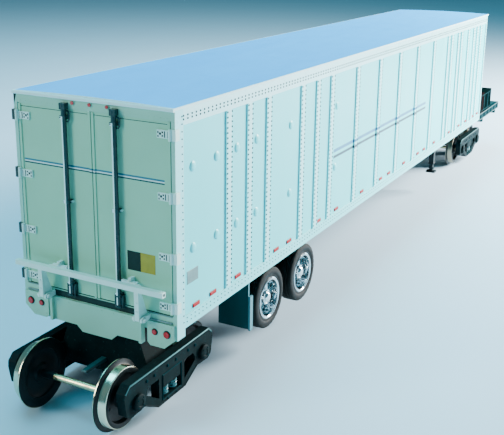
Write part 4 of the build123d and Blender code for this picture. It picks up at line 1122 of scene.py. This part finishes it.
# Parts of a rim: (radius, out from its lip or its disc)
BEAD = [(6.25, -0.5), (6.95, -0.5), (7.1, -0.2), (7.02, 0.1), (6.8, 0.2), (6.5, 0.12), (6.3, -0.1)]
STEP_RING = [(5.3, -0.1), (6.2, -0.1), (6.2, 0.5), (5.9, 0.65), (5.5, 0.4)]
HUB_CAP = [(1.75, -1.3), (1.75, -0.55), (1.5, -0.25), (1.0, -0.08), (0.4, -0.02)]
HUB_FLANGE = [(2.2, -1.25), (2.45, -1.25), (2.45, -0.95), (2.2, -0.85)]
NUT = [(0.42, -SUNK), (0.42, 0.5), (0.3, 0.62)]
STUD = [(0.2, 0.55), (0.2, 0.85)]
NUTS_R = 3.15
DISC_Y = SIDE - TYRE_OUT - TYRE_W / 2 - (TYRE_W + TYRE_GAP) / 2 + 1.2


def rim_details(end, word, side):
    """Bead ring, wheel nuts and hub cap of one axle end."""
    shape = Shape()
    low, high = node_box(f"road_rims_{end}_{word}")
    middle = (low + high) / 2
    lip = high.y if side > 0 else low.y
    at = (middle.x, lip, middle.z)
    shape.turn(facing(BEAD, side), at, "y", 72)
    on_disc = [(radius, DISC_Y - abs(lip) + out) for radius, out in STEP_RING]
    shape.turn(facing(on_disc, side), at, "y", 60)
    for x, z in circle(10, NUTS_R, tau / 20):
        nut = (middle.x + x, side * DISC_Y, middle.z + z)
        shape.cap(facing(NUT, side), nut, "y", 6)
        shape.cap(facing(STUD, side), nut, "y", 8)
    shape.cap(facing(HUB_CAP, side), at, "y", 32)
    shape.turn(facing(HUB_FLANGE, side), at, "y", 36)
    return shape


for end in ("rear", "front"):
    for word, side in SIDES:
        body = f"road_wheels_{end}_{word}"
        make_piece(f"{end}_{word}_treaded_tyres", road_tyres(end, word), body,
                   "rubber tread", [f"road_tyres_{end}_{word}"], 40)
        shape = rim_details(end, word, side)
        make_piece(f"{end}_{word}_rim_details", shape, body, "chrome")


# Air spring: (share of its height, radius)
BELLOWS = [(0.0, 1.5), (0.12, 1.9), (0.26, 2.3), (0.40, 2.38), (0.49, 2.05), (0.52, 2.05), (0.62, 2.38),
           (0.76, 2.3), (0.88, 1.9), (1.0, 1.5)]
BELLOWS_SEAT_R = 1.7
BELLOWS_SEAT_T = 0.35


def air_bellows():
    """Rolling-lobe air springs with their seat plates."""
    shape = Shape()
    low, high = node_box("air_springs")
    height = high.z - low.z
    rows = [(reach, share * height) for share, reach in BELLOWS]
    for side in (1, -1):
        for x in (low.x + AIR_SPRING_R, high.x - AIR_SPRING_R):
            at = (x, side * (high.y - AIR_SPRING_R), low.z)
            shape.cap(rows, at, "z", 32)
            for foot in (0.0, height - BELLOWS_SEAT_T):
                seat = [(BELLOWS_SEAT_R, foot), (BELLOWS_SEAT_R, foot + BELLOWS_SEAT_T)]
                shape.cap(seat, at, "z", 24, 1)
    return shape


make_piece("air_bellows", air_bellows(), "van", "rubber frame_black", ["air_springs"])

# Landing legs, below the sill: gearbox, collar and foot pin
GEARBOX_DROP = 4.0
COLLAR_DROP = 12.6
FOOT_PIN_DROP = 15.5
GEARBOX_SCREWS = ((-1.1, -0.9), (1.1, -0.9), (-1.1, 0.9), (1.1, 0.9))


def landing_details():
    """Gearboxes, bolts, foot pins and tube collars of the landing legs."""
    shape = Shape()
    x = NOSE - LEG_FROM_NOSE
    box_z, collar = SILL - GEARBOX_DROP, SILL - COLLAR_DROP
    for side in (1, -1):
        y = side * LEG_Y
        shape.plate(x, box_z, 1.7, 1.5, y + side * 1.25, y + side * 2.1, "y", 0.25)
        for ahead, up in GEARBOX_SCREWS:
            shape.rivet((x + ahead, y + side * 2.1, box_z + up), "y", side, 0.22, 0.16, 6, 1)
        shape.plate(x, y, 1.5, 1.5, collar - 0.4, collar + 0.4, "z", 0.15)
        for way in (1, -1):
            shape.bolt((x, y + way * 1.0, SILL - FOOT_PIN_DROP), "y", way, 0.4, 0.35, 1)
    return shape


make_piece("landing_details", landing_details(), "van", "frame_black deck_teal")

# Clamp bar of a mud flap, inward from the flap's outer edge and below the sill
CLAMP_IN = 6.2
CLAMP_DROP = 2.0
CLAMP_HALF_W = 4.4


def flap_details():
    """Clamp bars and bolts at the tops of the mud flaps."""
    shape = Shape()
    low, high = node_box("mud_flaps")
    for side in (1, -1):
        middle = side * (high.y - CLAMP_IN)
        shape.plate(middle, SILL - CLAMP_DROP, CLAMP_HALF_W, 0.6, low.x + 0.25, low.x + 0.02, "x", 0.08)
        for step in (-3.4, -1.1, 1.1, 3.4):
            shape.rivet((low.x + 0.05, middle + step, SILL - CLAMP_DROP), "x", -1, 0.24, 0.03, 8)
    return shape


make_piece("flap_details", flap_details(), "van", "frame_black")

DECK_TOP = SILL + 1.8
DECK_FOOT = SILL - 2.2
POCKET_PITCH = 8.6
TREAD_PITCH = 3.4


def deck_details():
    """Channel lips, stake pockets, tread strips and edge lines of the stepped deck."""
    shape = Shape()
    low, high = node_box("deck_frame")
    rear, front = low.x, high.x
    low, high = node_box("upper_deck")
    middle = (low + high) / 2
    half = (high.x - low.x) / 2
    for side in (1, -1):
        face = side * DECK_HALF_W
        for x in spaced(rear + 4.0, front - 4.0, POCKET_PITCH):
            shape.plate(x, (DECK_TOP + DECK_FOOT) / 2, 0.6, 1.4,
                        face - side * 0.1, face + side * 0.35, "y", 0.12)
        for up in (DECK_TOP - 0.25, DECK_FOOT + 0.25):
            path = [(x, face, up) for x in (rear + 0.3, (rear + front) / 2, front - 0.3)]
            shape.tube(path, 0.22, 6, 1)
        frame = rectangle(middle.x, middle.z, half - 1.6, (high.z - low.z) / 2 - 1.4)
        shape.tube([(x, face, z) for x, z in frame], 0.24, 8, 0, True)
        for ahead in (-half / 3, half / 3):
            shape.plate(middle.x + ahead, middle.z, 0.5, 4.4,
                        face - side * 0.1, face + side * 0.3, "y", 0.1)
    for x in spaced(rear + 30.5, front - 3.0, TREAD_PITCH):
        shape.plate(x, 0, 0.35, 23.2, DECK_TOP - SUNK, DECK_TOP + 0.16, "z", 0.08, 1)
    for y in (-18, -9, 0, 9, 18):
        shape.plate(y, middle.z, 0.5, 4.6, high.x - 0.1, high.x + 0.35, "x", 0.1)
    rim = [(low.x + 1, -24.4), (high.x - 1, -24.4), (high.x - 1, 24.4), (low.x + 1, 24.4)]
    shape.tube([(x, y, high.z - 0.05) for x, y in rim], 0.05, 6, 1, True)
    return shape


make_piece("deck_details", deck_details(), "front_bogie", "deck_teal lever_teal")

# Knuckle pin, behind the coupler's front
PIN_BACK = 2.6
PIN_Y = 1.5


def coupler_details():
    """Knuckle pin and its washer on the coupler's head."""
    shape = Shape()
    low, high = node_box("coupler")
    x = high.x - PIN_BACK
    shape.cap([(0.75, -SUNK), (0.75, 0.2), (0.6, 0.3)], (x, PIN_Y, high.z), "z", 16)
    shape.cap([(0.4, 0.25), (0.4, 0.7), (0.25, 0.8)], (x, PIN_Y, high.z), "z", 12)
    shape.cap([(0.4, 0.0), (0.4, -0.4), (0.25, -0.5)], (x, PIN_Y, low.z), "z", 12)
    return shape


make_piece("coupler_details", coupler_details(), "front_bogie", "cast_edge")

FLOOR_COLOUR = (0.46, 0.64, 0.76)
FLOOR_METRES = 8


def add_floor():
    """Plain pale floor."""
    bpy.ops.mesh.primitive_plane_add(size=FLOOR_METRES)
    floor = bpy.context.object
    floor.name = "studio_floor"
    pale = make_finish("floor_pale", FLOOR_COLOUR, 0.75, 0.01, 0.2, scale=20)
    floor.data.materials.append(pale)


add_floor()
